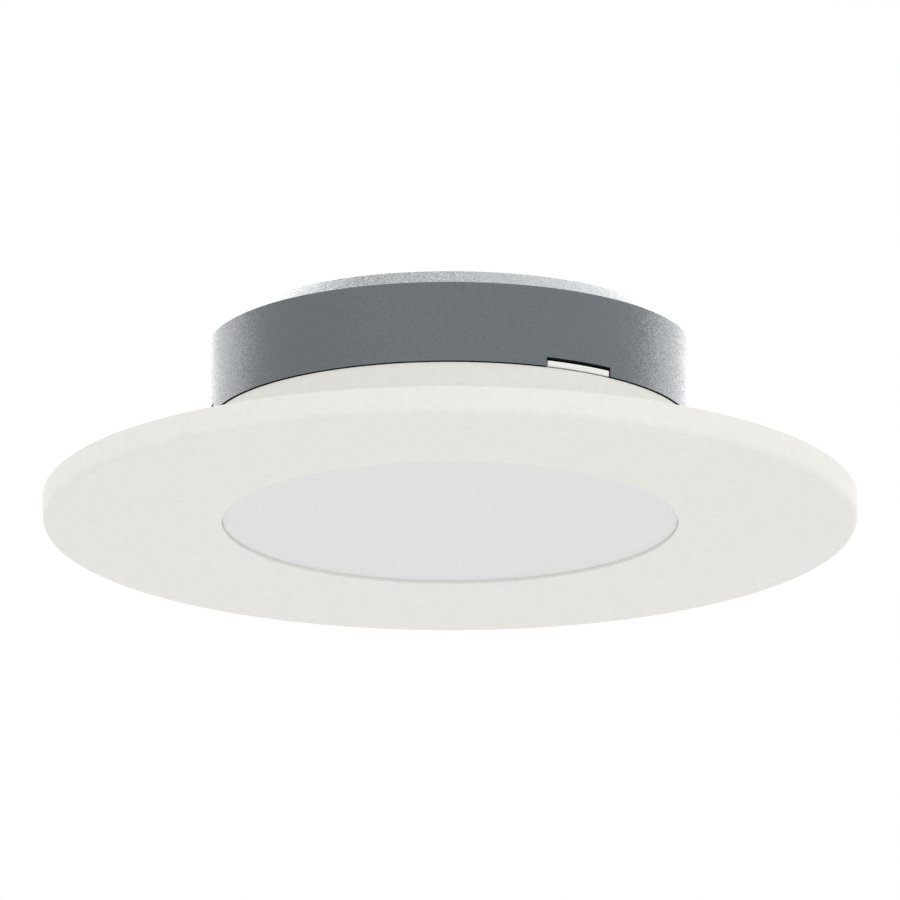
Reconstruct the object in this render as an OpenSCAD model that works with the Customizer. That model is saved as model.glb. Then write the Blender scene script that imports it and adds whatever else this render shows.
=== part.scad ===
// Ceiling puck light: a low metal housing, and a wide white trim that pulls off it downwards.
// All sizes are in millimetres. The origin is the centre of the housing's flat back,
// +Z points at the ceiling, and the light hangs below the origin.

/* [Housing] */
// Outside diameter of the metal housing
housing_d = 64; // [62:0.5:68]
// Height of the housing, from its back to its lower rim
housing_h = 13; // [12.8:0.1:15]
// Thickness of the housing's side wall
housing_wall = 2; // [1.6:0.1:2.4]
// Thickness of the housing's back wall
back_t = 2.5; // [2.2:0.1:3]
// Height of the bevel round the back edge
chamfer_h = 2.2; // [1:0.1:3]
// Width of the bevel round the back edge
chamfer_w = 2.5; // [1:0.1:3.5]
// Height of the heat rib below the back wall
rib_h = 8; // [7.6:0.1:8.6]
// Width of the heat rib, seen from below
rib_w = 3.4; // [3:0.1:3.8]
// Width of each notch in the lower rim
notch_w = 10; // [6:0.5:14]
// Height of each notch in the lower rim
notch_h = 1.25; // [0.9:0.05:1.5]
// Number of notches, and of the lugs that sit in them
lug_count = 3; // [2:1:4]
// Angle of the first notch from +X
lug_angle = -57.4; // [-90:0.1:-30]

/* [Mounting screws and cable] */
// Distance between the two mounting screws
screw_spacing = 36; // [34:0.5:36.5]
// Diameter of each mounting screw hole
screw_hole_d = 4.3; // [3.6:0.1:5]
// Diameter of the bore that takes a screw's head
screw_head_d = 6.8; // [6:0.1:7.2]
// Wall of the boss round each screw bore
boss_wall = 1.2; // [1:0.1:1.4]
// Diameter of the supply cable that the grommet takes
cable_d = 5; // [4:0.1:6]
// Depth of the seat in the back for the grommet
grommet_seat_depth = 1.2; // [1:0.1:1.4]
// Thickness of each lip of the grommet
grommet_lip_t = 1; // [0.8:0.1:1.2]
// Width of each lip of the grommet beyond its throat
grommet_lip_w = 2.3; // [1.8:0.1:2.6]
// Wall of rubber between the cable and the housing
grommet_throat_wall = 2; // [1.6:0.1:2.2]

/* [Trim] */
// Outside diameter of the trim's flange
flange_d = 108; // [104:1:118]
// Thickness of the flange at its edge
flange_t = 3.8; // [3.6:0.1:5]
// Radius of the flange's lower outer edge
flange_edge_r = 0.9; // [0.3:0.05:1.2]
// Radius of the flange's upper outer edge
flange_top_edge_r = 0.15; // [0.1:0.05:0.5]
// Thickness of the flange between its stiffening ribs
flange_web_t = 2; // [1.8:0.1:2.4]
// Number of stiffening ribs on top of the flange
flange_rib_count = 12; // [6:1:18]
// Thickness of each stiffening rib
flange_rib_t = 1.2; // [0.8:0.1:2]
// Height of the collar between the flange and the housing
collar_h = 9.5; // [8:0.1:14]
// Bevel round the collar's upper edge
collar_bevel = 0.1; // [0.05:0.05:0.5]
// Height of the sleeve that pushes up into the housing
sleeve_h = 7; // [6.6:0.1:8]
// Wall of the sleeve
sleeve_wall = 1.55; // [1.4:0.05:1.8]

/* [Lens and reflector] */
// Distance of the lens's edge inside the housing's outer surface
lens_inset = 1.8; // [1.5:0.1:2.4]
// Thickness of the lens
lens_t = 2; // [1.6:0.1:2.2]
// Depth of the lens face inside the flange's underside
lens_recess = 0.4; // [0.2:0.05:0.6]
// Thickness of the adhesive gasket behind the lens
lens_gasket_t = 0.5; // [0.3:0.05:0.6]
// Thickness of the ledge that carries the lens
lens_ledge_t = 0.7; // [0.6:0.05:1]
// Width of the shelf that carries the reflector
reflector_shelf_w = 0.65; // [0.5:0.05:0.9]
// Wall of the reflector
reflector_wall = 0.8; // [0.6:0.1:1]
// Gap between the reflector's small opening and the heads of the lamp plate's screws
reflector_mouth_gap = 0.85; // [0.6:0.05:1.1]

/* [Seals and clips] */
// Thickness of the cord of the sealing ring
o_ring_cord_d = 1; // [0.8:0.05:1.1]
// Width of the foam gasket on the flange
soffit_gasket_w = 3.7; // [3:0.1:6]
// Height of the foam gasket before it is pressed
soffit_gasket_h = 2; // [1.6:0.1:2.4]
// Depth of the groove that holds the foam gasket
soffit_groove_depth = 1.2; // [0.8:0.1:1.4]
// Width of the flange's rim outside that groove
soffit_rim_w = 4; // [3:0.1:6]
// Number of friction clips on the sleeve
clip_count = 3; // [2:1:4]
// Width of each friction clip
clip_w = 6; // [4:0.1:7]
// Thickness of the clips' spring strip
clip_t = 0.3; // [0.2:0.05:0.35]

/* [Lamp plate and driver board] */
// Thickness of the thermal pad
pad_t = 0.3; // [0.2:0.05:0.5]
// Thickness of the metal plate that carries the lamps
plate_t = 1.6; // [1.2:0.1:1.8]
// Length of the driver board's posts
post_h = 3.2; // [3:0.1:3.6]
// Thickness of the driver board
board_t = 1.2; // [1:0.1:1.4]
// Height of the terminal block
terminal_h = 3.2; // [2.8:0.1:3.3]
// Height of the inductor
inductor_h = 3; // [2.4:0.1:3.3]
// Diameter of the capacitor cans
capacitor_d = 3.2; // [2.6:0.1:3.3]

/* [Hidden] */
$fn = 96;

// Clearances between pieces that fit together
sleeve_clear = 0.2;
rib_clear = 0.8;
rim_gap = 0.12;
collar_step = 0.2;
lug_side_clear = 0.2;
lug_top_clear = 0.4;
lug_gap = 0.14;
lens_clear = 0.05;
reflector_clear = 0.15;
plate_clear = 0.1;
board_clear = 1.2;
boss_clear = 0.4;
grommet_clear = 0.1;
grommet_seat_clear = 0.5;
seal_clear = 0.15;
groove_clear = 0.15;
o_ring_groove_clear = 0.4;
clip_clear = 0.2;
clip_wall_clear = 0.15;
clip_seat_clear = 0.05;
thread_clear = 0.05;
screw_pass_clear = 0.3;
driver_clear = 0.8;
pin_clear = 0.1;
lead_in = 0.4;
pilot_spare = 0.4;
cut = 1;
root = 0.5;

// Radii, from the outside of the housing inwards
housing_r = housing_d / 2;
housing_in_r = housing_r - housing_wall;
sleeve_r = housing_in_r - sleeve_clear;
sleeve_in_r = sleeve_r - sleeve_wall;
rib_r = sleeve_in_r - rib_clear;
rib_in_r = rib_r - rib_w;
collar_r = housing_r - collar_step;
flange_r = flange_d / 2;
lens_r = housing_r - lens_inset;
lens_pocket_r = lens_r + lens_clear;
ledge_in_r = sleeve_in_r - reflector_shelf_w;
plate_r = rib_r - plate_clear;
board_r = rib_in_r - board_clear;
boss_bore_r = screw_head_d / 2;
boss_r = boss_bore_r + boss_wall;
boss_x = screw_spacing / 2;
cable_r = cable_d / 2;
grommet_throat_r = cable_r + grommet_throat_wall;
grommet_hole_r = grommet_throat_r + grommet_clear;
grommet_lip_r = grommet_throat_r + grommet_lip_w;
grommet_lip_step = 0.6;
grommet_inner_lip_r = grommet_lip_r - grommet_lip_step;
grommet_seat_r = grommet_lip_r + grommet_seat_clear;

// Heights, from the back downwards
rim_z = -housing_h;
notch_top_z = rim_z + notch_h;
back_in_z = -back_t;
rib_z = back_in_z - rib_h;
pad_z = rib_z - pad_t;
plate_z = pad_z - plate_t;
board_top_z = back_in_z - post_h;
board_z = board_top_z - board_t;
collar_top_z = rim_z - rim_gap;
sleeve_top_z = collar_top_z + sleeve_h;
flange_top_z = collar_top_z - collar_h;
underside_z = flange_top_z - flange_t;
lens_face_z = underside_z + lens_recess;
lens_back_z = lens_face_z + lens_t;
ledge_z = lens_back_z + lens_gasket_t;
shelf_z = ledge_z + lens_ledge_t;
lug_top_z = notch_top_z - lug_top_clear;
grommet_seat_z = -grommet_seat_depth;
grommet_out_z = grommet_seat_z + grommet_lip_t;
grommet_in_z = back_in_z - grommet_lip_t;

// Sealing ring and its groove, above the notches
o_ring_above_notch = 0.45;
o_ring_sides = 24;
o_ring_r = o_ring_cord_d / 2;
o_ring_mid_r = housing_in_r - seal_clear - o_ring_r;
o_ring_groove_r = o_ring_mid_r - o_ring_r;
o_ring_groove_h = o_ring_cord_d + o_ring_groove_clear;
o_ring_z = notch_top_z + o_ring_above_notch + o_ring_groove_h / 2;

// Friction clips, hooked over the sleeve's upper edge
clip_angle = lug_angle + 180 / lug_count;
clip_pocket_depth = 0.9;
clip_pocket_x = sleeve_r - clip_pocket_depth;
clip_pocket_h = 2.9;
clip_foot_rise = 0.2;
clip_in_x = sqrt(sleeve_in_r * sleeve_in_r - clip_w * clip_w / 4) - clip_seat_clear;
clip_out_x = sqrt(pow(housing_in_r - clip_wall_clear, 2) - clip_w * clip_w / 4);
clip_foot_x = clip_pocket_x + clip_seat_clear;
clip_inner_leg = 2;

// Foam gasket and the cored-out top of the flange
soffit_out_r = flange_r - soffit_rim_w;
soffit_in_r = soffit_out_r - soffit_gasket_w - 2 * groove_clear;
soffit_floor_z = flange_top_z - soffit_groove_depth;
core_land = 1.2;
core_in_r = collar_r + core_land;
core_out_r = soffit_in_r - core_land;
core_floor_z = underside_z + flange_web_t;

// Screws that hold the driver board and the lamp plate
screw_count = 4;
first_screw_angle = 45;
board_post_r = 2;
board_post_inset = 3.65;
board_post_at = board_r - board_post_inset;
post_xy = board_post_at * cos(first_screw_angle);
board_screw_r = 0.75;
board_screw_head_r = 1.6;
board_screw_head_h = 1;
board_screw_grip = 2.2;
plate_screw_at = (rib_r + rib_in_r) / 2;
plate_screw_r = 0.95;
plate_screw_head_r = 1.5;
plate_screw_head_h = 1.1;
plate_screw_grip = 4;
drive_span = 1.3;
drive_w = 0.5;
drive_depth = 0.5;

// Supply terminals, on the driver board's lower face
terminal_w = 12;
terminal_l = 6.4;
terminal_y = 12;
terminal_pitch = 3.8;
terminal_ways = 3;
terminal_well_r = 1.35;
terminal_screw_r = 1.15;
terminal_screw_h = 1;
terminal_entry_w = 2.4;
terminal_entry_h = 1.6;
terminal_back_wall = 1;
terminal_entry_l = terminal_l - terminal_back_wall;
terminal_front_y = -terminal_l / 2;
terminal_z = board_z - terminal_h;
terminal_head_depth = 0.3;
terminal_head_z = terminal_z + terminal_head_depth;
terminal_entry_z = terminal_head_z + terminal_screw_h;
cage_wall = 0.3;
cage_inset = 0.6;
cage_l = terminal_entry_l - cage_inset - pin_clear;

// Other parts on the driver board's lower face
board_hole_r = 4;
fuse_r = 1.2;
fuse_l = 7;
fuse_cap_l = 1.4;
fuse_cap_step = 0.2;
fuse_at = [-11.6, 8];
rectifier_size = [5, 4.2, 1.5];
rectifier_from_post = [-3, -5];
rectifier_at = [post_xy, post_xy] + rectifier_from_post;
chip_size = [4, 5, 1.4];
chip_at = [0, -8.6];
chip_stand = 0.1;
lead_count = 4;
lead_pitch = 1.27;
lead_w = 0.4;
lead_l = 1;
lead_t = 0.2;
inductor_r = 3.4;
inductor_post_r = 1.6;
inductor_flange_t = 0.6;
inductor_winding_step = 0.4;
inductor_from_post = [4.3, 4];
inductor_at = [-post_xy, -post_xy] + inductor_from_post;
capacitor_l = 6.4;
capacitor_from_post = [[-4.8, 5.6], [-4.8, 1.9]];
capacitor_at = [for (away = capacitor_from_post) [post_xy, -post_xy] + away];
resistor_size = [3.2, 1.6, 0.6];
resistor_x = 9.2;
resistor_pitch = 3;
link_size = [6, 3, 3];
link_pitch = 2.54;
link_pin_r = 0.35;
link_floor_t = 0.5;

// Lamps on the lower face of the plate, clear of the two screw holes, and the reflector round them
plate_hole_r = boss_bore_r + driver_clear;
lamp_size = [3.5, 2.8, 0.7];
phosphor_size = [2.7, 2, 0.12];
lamp_edge_gap = 3.6;
mouth_r = plate_screw_at - plate_screw_head_r - reflector_mouth_gap - reflector_wall;
mouth_drop = 0.6;
mouth_z = plate_z - mouth_drop;
inner_lamp_r = 6;
outer_lamp_r = mouth_r - lamp_edge_gap;
middle_lamp_r = (inner_lamp_r + outer_lamp_r) / 2;
inner_lamp_count = 6;
middle_lamp_count = 10;
outer_lamp_count = 6;
outer_lamp_first = 35;
outer_lamp_step = 22;
inner_lamps = [for (k = [0:inner_lamp_count - 1]) [inner_lamp_r, (k + 0.5) * 360 / inner_lamp_count]];
middle_lamps = [for (k = [0:middle_lamp_count - 1]) [middle_lamp_r, (k + 0.5) * 360 / middle_lamp_count]];
outer_lamps = [for (side = [0, 180], k = [0:outer_lamp_count - 1])
    [outer_lamp_r, side + outer_lamp_first + outer_lamp_step * k]];
lamps = concat(inner_lamps, middle_lamps, outer_lamps);
link_y = -(middle_lamp_r + outer_lamp_r) / 2;

// Places pieces evenly round the axis, at a distance from it and from a first angle
module around(count, first_angle, distance = 0) {
    for (k = [0:count - 1])
        rotate([0, 0, first_angle + 360 * k / count])
            translate([distance, 0, 0])
                children();
}

// A disc's half section with a rounded lower and upper outer edge
module rounded_disc_section(r, z0, z1, low_r, high_r) {
    translate([0, z0])
        square([r - low_r, z1 - z0]);
    translate([0, z0 + low_r])
        square([r, z1 - z0 - low_r - high_r]);
    translate([0, z0 + low_r])
        square([r - high_r, z1 - z0 - low_r]);
    translate([r - low_r, z0 + low_r])
        circle(low_r);
    translate([r - high_r, z1 - high_r])
        circle(high_r);
}

// A flat ring between two radii and two heights
module ring(r_out, r_in, z0, z1) {
    translate([0, 0, z0])
        difference() {
            cylinder(r = r_out, h = z1 - z0);
            translate([0, 0, -cut])
                cylinder(r = r_in, h = z1 - z0 + 2 * cut);
        }
}

// A round post or hole that hangs down from one height to a lower one
module post(r, z0, z1) {
    translate([0, 0, z0])
        cylinder(r = r, h = z1 - z0);
}

// A box centred in plan that stands on one height
module block(size, z0) {
    translate([-size[0] / 2, -size[1] / 2, z0])
        cube(size);
}

// A cross-slotted pan screw whose head hangs below the face that it holds
module screw(shank_r, head_r, head_h, face_z, tip_z) {
    difference() {
        union() {
            post(shank_r, face_z, tip_z);
            post(head_r, face_z - head_h, face_z);
        }
        for (turn = [0, 90])
            rotate([0, 0, turn])
                block([head_r * drive_span, drive_w, drive_depth + cut], face_z - head_h - cut);
    }
}

// Half section of the housing's turned shell and its heat rib
module housing_section() {
    polygon([
        [0, 0],
        [housing_r - chamfer_w, 0],
        [housing_r, -chamfer_h],
        [housing_r, rim_z],
        [housing_in_r + lead_in, rim_z],
        [housing_in_r, rim_z + lead_in],
        [housing_in_r, back_in_z],
        [rib_r, back_in_z],
        [rib_r, rib_z],
        [rib_in_r, rib_z],
        [rib_in_r, back_in_z],
        [0, back_in_z]
    ]);
}

module housing() {
    board_pilot_z = board_top_z + board_screw_grip + pilot_spare;
    plate_pilot_z = rib_z + plate_screw_grip + pilot_spare;
    color("#6d7377")
        difference() {
            union() {
                rotate_extrude()
                    housing_section();
                for (side = [-1, 1])
                    translate([side * boss_x, 0, 0])
                        post(boss_r, rib_z, back_in_z + root);
                around(screw_count, first_screw_angle, board_post_at)
                    post(board_post_r, board_top_z, back_in_z + root);
            }
            for (side = [-1, 1])
                translate([side * boss_x, 0, 0]) {
                    post(screw_hole_d / 2, back_in_z - cut, cut);
                    post(boss_bore_r, rib_z - cut, back_in_z);
                }
            post(grommet_hole_r, back_in_z - cut, cut);
            post(grommet_seat_r, grommet_seat_z, cut);
            around(lug_count, lug_angle, housing_in_r - cut)
                translate([0, -notch_w / 2, rim_z - cut])
                    cube([housing_wall + 2 * cut, notch_w, notch_h + cut]);
            around(screw_count, first_screw_angle, board_post_at)
                post(board_screw_r + thread_clear, board_top_z - cut, board_pilot_z);
            around(screw_count, first_screw_angle, plate_screw_at)
                post(plate_screw_r + thread_clear, rib_z - cut, plate_pilot_z);
        }
}

module cable_grommet() {
    color("#2b2c2e")
        difference() {
            union() {
                post(grommet_lip_r, grommet_seat_z, grommet_out_z);
                post(grommet_throat_r, grommet_in_z, grommet_out_z);
                post(grommet_inner_lip_r, grommet_in_z, back_in_z);
            }
            post(cable_r, grommet_in_z - cut, cut);
        }
}

module driver_board() {
    notch_r = boss_r + boss_clear;
    color("#2f6b46")
        difference() {
            post(board_r, board_z, board_top_z);
            post(board_hole_r, board_z - cut, board_top_z + cut);
            for (side = [-1, 1])
                translate([side * boss_x, 0, 0]) {
                    post(notch_r, board_z - cut, board_top_z + cut);
                    translate([side * notch_r, 0, 0])
                        block([2 * notch_r, 2 * notch_r, board_t + 2 * cut], board_z - cut);
                }
            around(screw_count, first_screw_angle, board_post_at)
                post(board_screw_r + screw_pass_clear, board_z - cut, board_top_z + cut);
        }
}

module driver_board_screws() {
    color("#b9bcc0")
        around(screw_count, first_screw_angle, board_post_at)
            screw(board_screw_r, board_screw_head_r, board_screw_head_h, board_z,
                board_top_z + board_screw_grip);
}

// Places one child at each way of the terminal block
module terminal_ways() {
    for (k = [0:terminal_ways - 1])
        translate([(k - (terminal_ways - 1) / 2) * terminal_pitch, terminal_y, 0])
            children();
}

module terminal_block() {
    color("#3f7f8f")
        difference() {
            translate([0, terminal_y, 0])
                block([terminal_w, terminal_l, terminal_h], terminal_z);
            terminal_ways() {
                post(terminal_well_r, terminal_z - cut, terminal_entry_z + cut / 2);
                translate([-terminal_entry_w / 2, terminal_front_y - cut, terminal_entry_z])
                    cube([terminal_entry_w, terminal_entry_l + cut, terminal_entry_h]);
            }
        }
}

module terminal_screws() {
    color("#c9cbcf")
        terminal_ways()
            difference() {
                post(terminal_screw_r, terminal_head_z, terminal_entry_z);
                block([2 * terminal_screw_r, drive_w, drive_depth + cut], terminal_head_z - cut);
            }
}

module terminal_cages() {
    outer = [terminal_entry_w - pin_clear, cage_l, terminal_entry_h - pin_clear];
    bore = [outer[0] - 2 * cage_wall, cage_l + 2 * cut, outer[2] - 2 * cage_wall];
    color("#c8b06a")
        terminal_ways()
            translate([0, terminal_front_y + cage_inset + cage_l / 2, terminal_entry_z + pin_clear / 2])
                difference() {
                    block(outer, 0);
                    block(bore, cage_wall);
                }
}

module fuse() {
    glass_l = fuse_l - fuse_cap_l;
    color("#c9cbcf")
        translate([fuse_at[0], fuse_at[1], board_z - fuse_r])
            rotate([0, 90, 0]) {
                cylinder(r = fuse_r - fuse_cap_step, h = glass_l, center = true);
                for (side = [-1, 1])
                    translate([0, 0, side * glass_l / 2])
                        cylinder(r = fuse_r, h = fuse_cap_l, center = true);
            }
}

module rectifier() {
    color("#26272a")
        translate([rectifier_at[0], rectifier_at[1], 0])
            block(rectifier_size, board_z - rectifier_size[2]);
}

module driver_chip() {
    color("#1f2023")
        translate([chip_at[0], chip_at[1], 0])
            block(chip_size, board_z - chip_stand - chip_size[2]);
}

module chip_leads() {
    color("#c9cbcf")
        translate([chip_at[0], chip_at[1], 0])
            for (side = [-1, 1], k = [0:lead_count - 1])
                translate([side * (chip_size[0] + lead_l) / 2, (k - (lead_count - 1) / 2) * lead_pitch, 0]) {
                    block([lead_l, lead_w, lead_t], board_z - chip_stand - chip_size[2] / 2);
                    translate([side * (lead_l - lead_t) / 2, 0, 0])
                        block([lead_t, lead_w, chip_stand + chip_size[2] / 2],
                            board_z - chip_stand - chip_size[2] / 2);
                }
}

module inductor_core() {
    color("#3a3b3d")
        translate([inductor_at[0], inductor_at[1], 0]) {
            post(inductor_r, board_z - inductor_flange_t, board_z);
            post(inductor_post_r, board_z - inductor_h, board_z);
            post(inductor_r, board_z - inductor_h, board_z - inductor_h + inductor_flange_t);
        }
}

module inductor_winding() {
    color("#b5673a")
        translate([inductor_at[0], inductor_at[1], 0])
            ring(inductor_r - inductor_winding_step, inductor_post_r,
                board_z - inductor_h + inductor_flange_t, board_z - inductor_flange_t);
}

module capacitors() {
    color("#8f979e")
        for (at = capacitor_at)
            translate([at[0], at[1], board_z - capacitor_d / 2])
                rotate([0, 90, 0])
                    cylinder(d = capacitor_d, h = capacitor_l, center = true);
}

module resistors() {
    color("#232427")
        for (side = [-1, 1], k = [-1:1])
            translate([side * resistor_x, k * resistor_pitch, 0])
                block(resistor_size, board_z - resistor_size[2]);
}

// Places one child at each of the two link pins
module link_ways() {
    for (side = [-1, 1])
        translate([side * link_pitch / 2, link_y, 0])
            children();
}

module link_socket() {
    color("#2a2b2e")
        difference() {
            translate([0, link_y, 0])
                block(link_size, board_z - link_size[2]);
            link_ways()
                post(link_pin_r + thread_clear, board_z - link_size[2] - cut, board_z - link_floor_t);
        }
}

module link_pins() {
    reach = 2;
    proud = 0.5;
    color("#c8b06a")
        link_ways()
            post(link_pin_r, plate_z - proud, board_z - link_size[2] + reach);
}

module thermal_pad() {
    color("#8d99a8")
        difference() {
            ring(rib_r, rib_in_r, pad_z, rib_z);
            around(screw_count, first_screw_angle, plate_screw_at)
                post(plate_screw_r + screw_pass_clear, pad_z - cut, rib_z + cut);
        }
}

module lamp_plate() {
    color("#eceff0")
        difference() {
            post(plate_r, plate_z, pad_z);
            for (side = [-1, 1])
                translate([side * boss_x, 0, 0])
                    post(plate_hole_r, plate_z - cut, pad_z + cut);
            around(screw_count, first_screw_angle, plate_screw_at)
                post(plate_screw_r + screw_pass_clear, plate_z - cut, pad_z + cut);
            link_ways()
                post(link_pin_r + thread_clear, plate_z - cut, pad_z + cut);
        }
}

// Places one child at each lamp on the plate
module at_lamps() {
    for (lamp = lamps)
        rotate([0, 0, lamp[1]])
            translate([lamp[0], 0, 0])
                children();
}

module lamp_packages() {
    color("#f4f3ee")
        at_lamps()
            block(lamp_size, plate_z - lamp_size[2]);
}

module lamp_phosphors() {
    color("#e8c94a")
        at_lamps()
            block(phosphor_size, plate_z - lamp_size[2] - phosphor_size[2]);
}

module lamp_plate_screws() {
    color("#c9cbcf")
        around(screw_count, first_screw_angle, plate_screw_at)
            screw(plate_screw_r, plate_screw_head_r, plate_screw_head_h, plate_z, rib_z + plate_screw_grip);
}

// Half section of the trim: flange, collar and sleeve, before the pockets are cut
module trim_section() {
    rounded_disc_section(flange_r, underside_z, flange_top_z, flange_edge_r, flange_top_edge_r);
    polygon([
        [0, flange_top_z - flange_t / 2],
        [collar_r, flange_top_z - flange_t / 2],
        [collar_r, collar_top_z - collar_bevel],
        [collar_r - collar_bevel, collar_top_z],
        [sleeve_r, collar_top_z],
        [sleeve_r, sleeve_top_z - lead_in],
        [sleeve_r - lead_in, sleeve_top_z],
        [0, sleeve_top_z]
    ]);
}

// Cut-outs in the flange's top: the space between the ribs, and the foam gasket's groove
module flange_top_cuts() {
    rib_l = core_out_r - core_in_r + 2 * cut;
    difference() {
        ring(core_out_r, core_in_r, core_floor_z, flange_top_z + cut);
        around(flange_rib_count, 0, core_in_r - cut)
            translate([0, -flange_rib_t / 2, core_floor_z - cut])
                cube([rib_l, flange_rib_t, flange_t + 2 * cut]);
    }
    ring(soffit_out_r, soffit_in_r, soffit_floor_z, flange_top_z + cut);
}

// Lugs on the sleeve, just above the collar: they sit in the housing's notches and stop the trim
// from turning
module lugs() {
    lug_w = notch_w - 2 * lug_side_clear;
    intersection() {
        ring(collar_r, sleeve_in_r, collar_top_z + lug_gap, lug_top_z);
        around(lug_count, lug_angle, sleeve_in_r - cut)
            translate([0, -lug_w / 2, collar_top_z - cut])
                cube([housing_r - sleeve_in_r + 2 * cut, lug_w, notch_h + 2 * cut]);
    }
}

module trim_ring() {
    pocket_w = clip_w + 2 * clip_clear;
    color("#ebeae6") {
        difference() {
            rotate_extrude()
                trim_section();
            post(lens_pocket_r, underside_z - cut, ledge_z);
            post(ledge_in_r, underside_z, sleeve_top_z);
            post(sleeve_in_r, shelf_z, sleeve_top_z + cut);
            flange_top_cuts();
            ring(sleeve_r + cut, o_ring_groove_r, o_ring_z - o_ring_groove_h / 2,
                o_ring_z + o_ring_groove_h / 2);
            around(clip_count, clip_angle, clip_pocket_x)
                translate([0, -pocket_w / 2, sleeve_top_z - clip_pocket_h])
                    cube([sleeve_wall + cut, pocket_w, clip_pocket_h + cut]);
        }
        lugs();
    }
}

module lens() {
    color("#dededf")
        post(lens_r, lens_face_z, lens_back_z);
}

module lens_gasket() {
    inset = 0.2;
    color("#3a3b3d")
        ring(lens_r - inset, ledge_in_r + inset, lens_back_z, ledge_z);
}

module reflector() {
    foot_r = sleeve_in_r - reflector_clear;
    foot_lap = 0.4;
    foot_in_r = ledge_in_r - foot_lap;
    color("#f3f3f1")
        rotate_extrude()
            polygon([
                [foot_in_r, shelf_z],
                [foot_r, shelf_z],
                [foot_r, shelf_z + reflector_wall],
                [foot_in_r + reflector_wall, shelf_z + reflector_wall],
                [mouth_r + reflector_wall, mouth_z],
                [mouth_r, mouth_z]
            ]);
}

module o_ring() {
    color("#2b2c2e")
        rotate_extrude()
            translate([o_ring_mid_r, o_ring_z])
                circle(o_ring_r, $fn = o_ring_sides);
}

// One clip seen from the side: an inner leg, a bridge over the sleeve, and a bowed outer leg
module clip_section() {
    top_z = sleeve_top_z + clip_t;
    bow_z = sleeve_top_z - clip_pocket_h / 2;
    foot_z = sleeve_top_z - clip_pocket_h + clip_foot_rise;
    polygon([
        [clip_in_x - clip_t, sleeve_top_z - clip_inner_leg],
        [clip_in_x, sleeve_top_z - clip_inner_leg],
        [clip_in_x, sleeve_top_z],
        [clip_foot_x, sleeve_top_z],
        [clip_out_x - clip_t, bow_z],
        [clip_foot_x, foot_z],
        [clip_foot_x + clip_t, foot_z],
        [clip_out_x, bow_z],
        [clip_foot_x + clip_t, top_z],
        [clip_in_x - clip_t, top_z]
    ]);
}

module friction_clips() {
    color("#c9cbcf")
        around(clip_count, clip_angle)
            translate([0, clip_w / 2, 0])
                rotate([90, 0, 0])
                    linear_extrude(clip_w)
                        clip_section();
}

module soffit_gasket() {
    color("#c4c5c6")
        ring(soffit_out_r - groove_clear, soffit_in_r + groove_clear, soffit_floor_z,
            soffit_floor_z + soffit_gasket_h);
}

housing();
cable_grommet();
driver_board();
driver_board_screws();
terminal_block();
terminal_screws();
terminal_cages();
fuse();
rectifier();
driver_chip();
chip_leads();
inductor_core();
inductor_winding();
capacitors();
resistors();
link_socket();
link_pins();
thermal_pad();
lamp_plate();
lamp_packages();
lamp_phosphors();
lamp_plate_screws();
trim_ring();
lens();
lens_gasket();
reflector();
o_ring();
friction_clips();
soffit_gasket();
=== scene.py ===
"""Ceiling puck light: a grey metal housing, and a wide white trim with a frosted lens.

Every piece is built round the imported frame, in metres, with +Z towards the ceiling.
"""

import math

import bmesh
import bpy
from bpy.props import FloatProperty, FloatVectorProperty, IntProperty, PointerProperty
from bpy.types import Operator, Panel, PropertyGroup
from mathutils import Matrix, Vector, noise


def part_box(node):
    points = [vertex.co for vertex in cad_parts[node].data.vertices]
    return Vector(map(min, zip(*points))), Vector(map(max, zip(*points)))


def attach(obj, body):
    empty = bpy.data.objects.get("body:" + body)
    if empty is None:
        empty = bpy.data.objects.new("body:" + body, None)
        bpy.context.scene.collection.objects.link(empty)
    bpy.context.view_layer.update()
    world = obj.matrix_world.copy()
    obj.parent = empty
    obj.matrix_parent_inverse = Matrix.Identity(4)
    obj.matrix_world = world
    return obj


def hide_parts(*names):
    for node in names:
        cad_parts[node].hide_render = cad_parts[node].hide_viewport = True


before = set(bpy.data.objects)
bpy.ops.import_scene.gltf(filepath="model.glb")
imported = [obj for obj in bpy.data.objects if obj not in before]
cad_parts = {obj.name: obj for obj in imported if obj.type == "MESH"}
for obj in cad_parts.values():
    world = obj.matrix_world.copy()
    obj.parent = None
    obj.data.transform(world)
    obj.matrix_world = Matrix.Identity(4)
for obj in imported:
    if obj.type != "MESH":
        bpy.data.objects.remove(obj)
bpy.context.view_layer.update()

bl_info = {
    "name": "Ceiling puck light",
    "version": (1, 0, 0),
    "blender": (4, 5, 0),
    "location": "View3D > Sidebar > Puck light",
    "description": "Builds the visible pieces of a ceiling puck light round its packed frame",
    "category": "Object",
}

MM = 0.001
TURN = 2 * math.pi
TINY = 1e-9
ROUND_STEPS = 240
SMALL_STEPS = 48
SHARP_ANGLE = math.radians(30)
SOFT_ANGLE = math.radians(40)
UPRIGHT = Matrix.Rotation(TURN / 4, 4, "X")
LYING = Matrix.Rotation(TURN / 4, 4, "Y")

# How far a cutter passes a face, and how deep a joined shape starts inside the next
CUT = 1 * MM
BURIED = 0.2 * MM

# The radii of the rings of lamps
LAMP_RINGS = (6 * MM, 12.5 * MM, 19 * MM)

# How far the plug link's pins stand beside the Y axis, and their place along it
LINK = (1.27 * MM, -15.75 * MM)

# From the driver board's edge to its screws
BOARD_SCREW_INSET = 3.65 * MM

# The grommet's seat in the back, and the hole in its floor
SEAT_R, SEAT_Z, THROAT_R = 7.3 * MM, -1.2 * MM, 4.6 * MM


def low(node):
    """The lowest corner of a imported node."""
    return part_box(node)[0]


def high(node):
    """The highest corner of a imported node."""
    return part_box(node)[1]


def span(node):
    """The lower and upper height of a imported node."""
    return low(node).z, high(node).z


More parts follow.
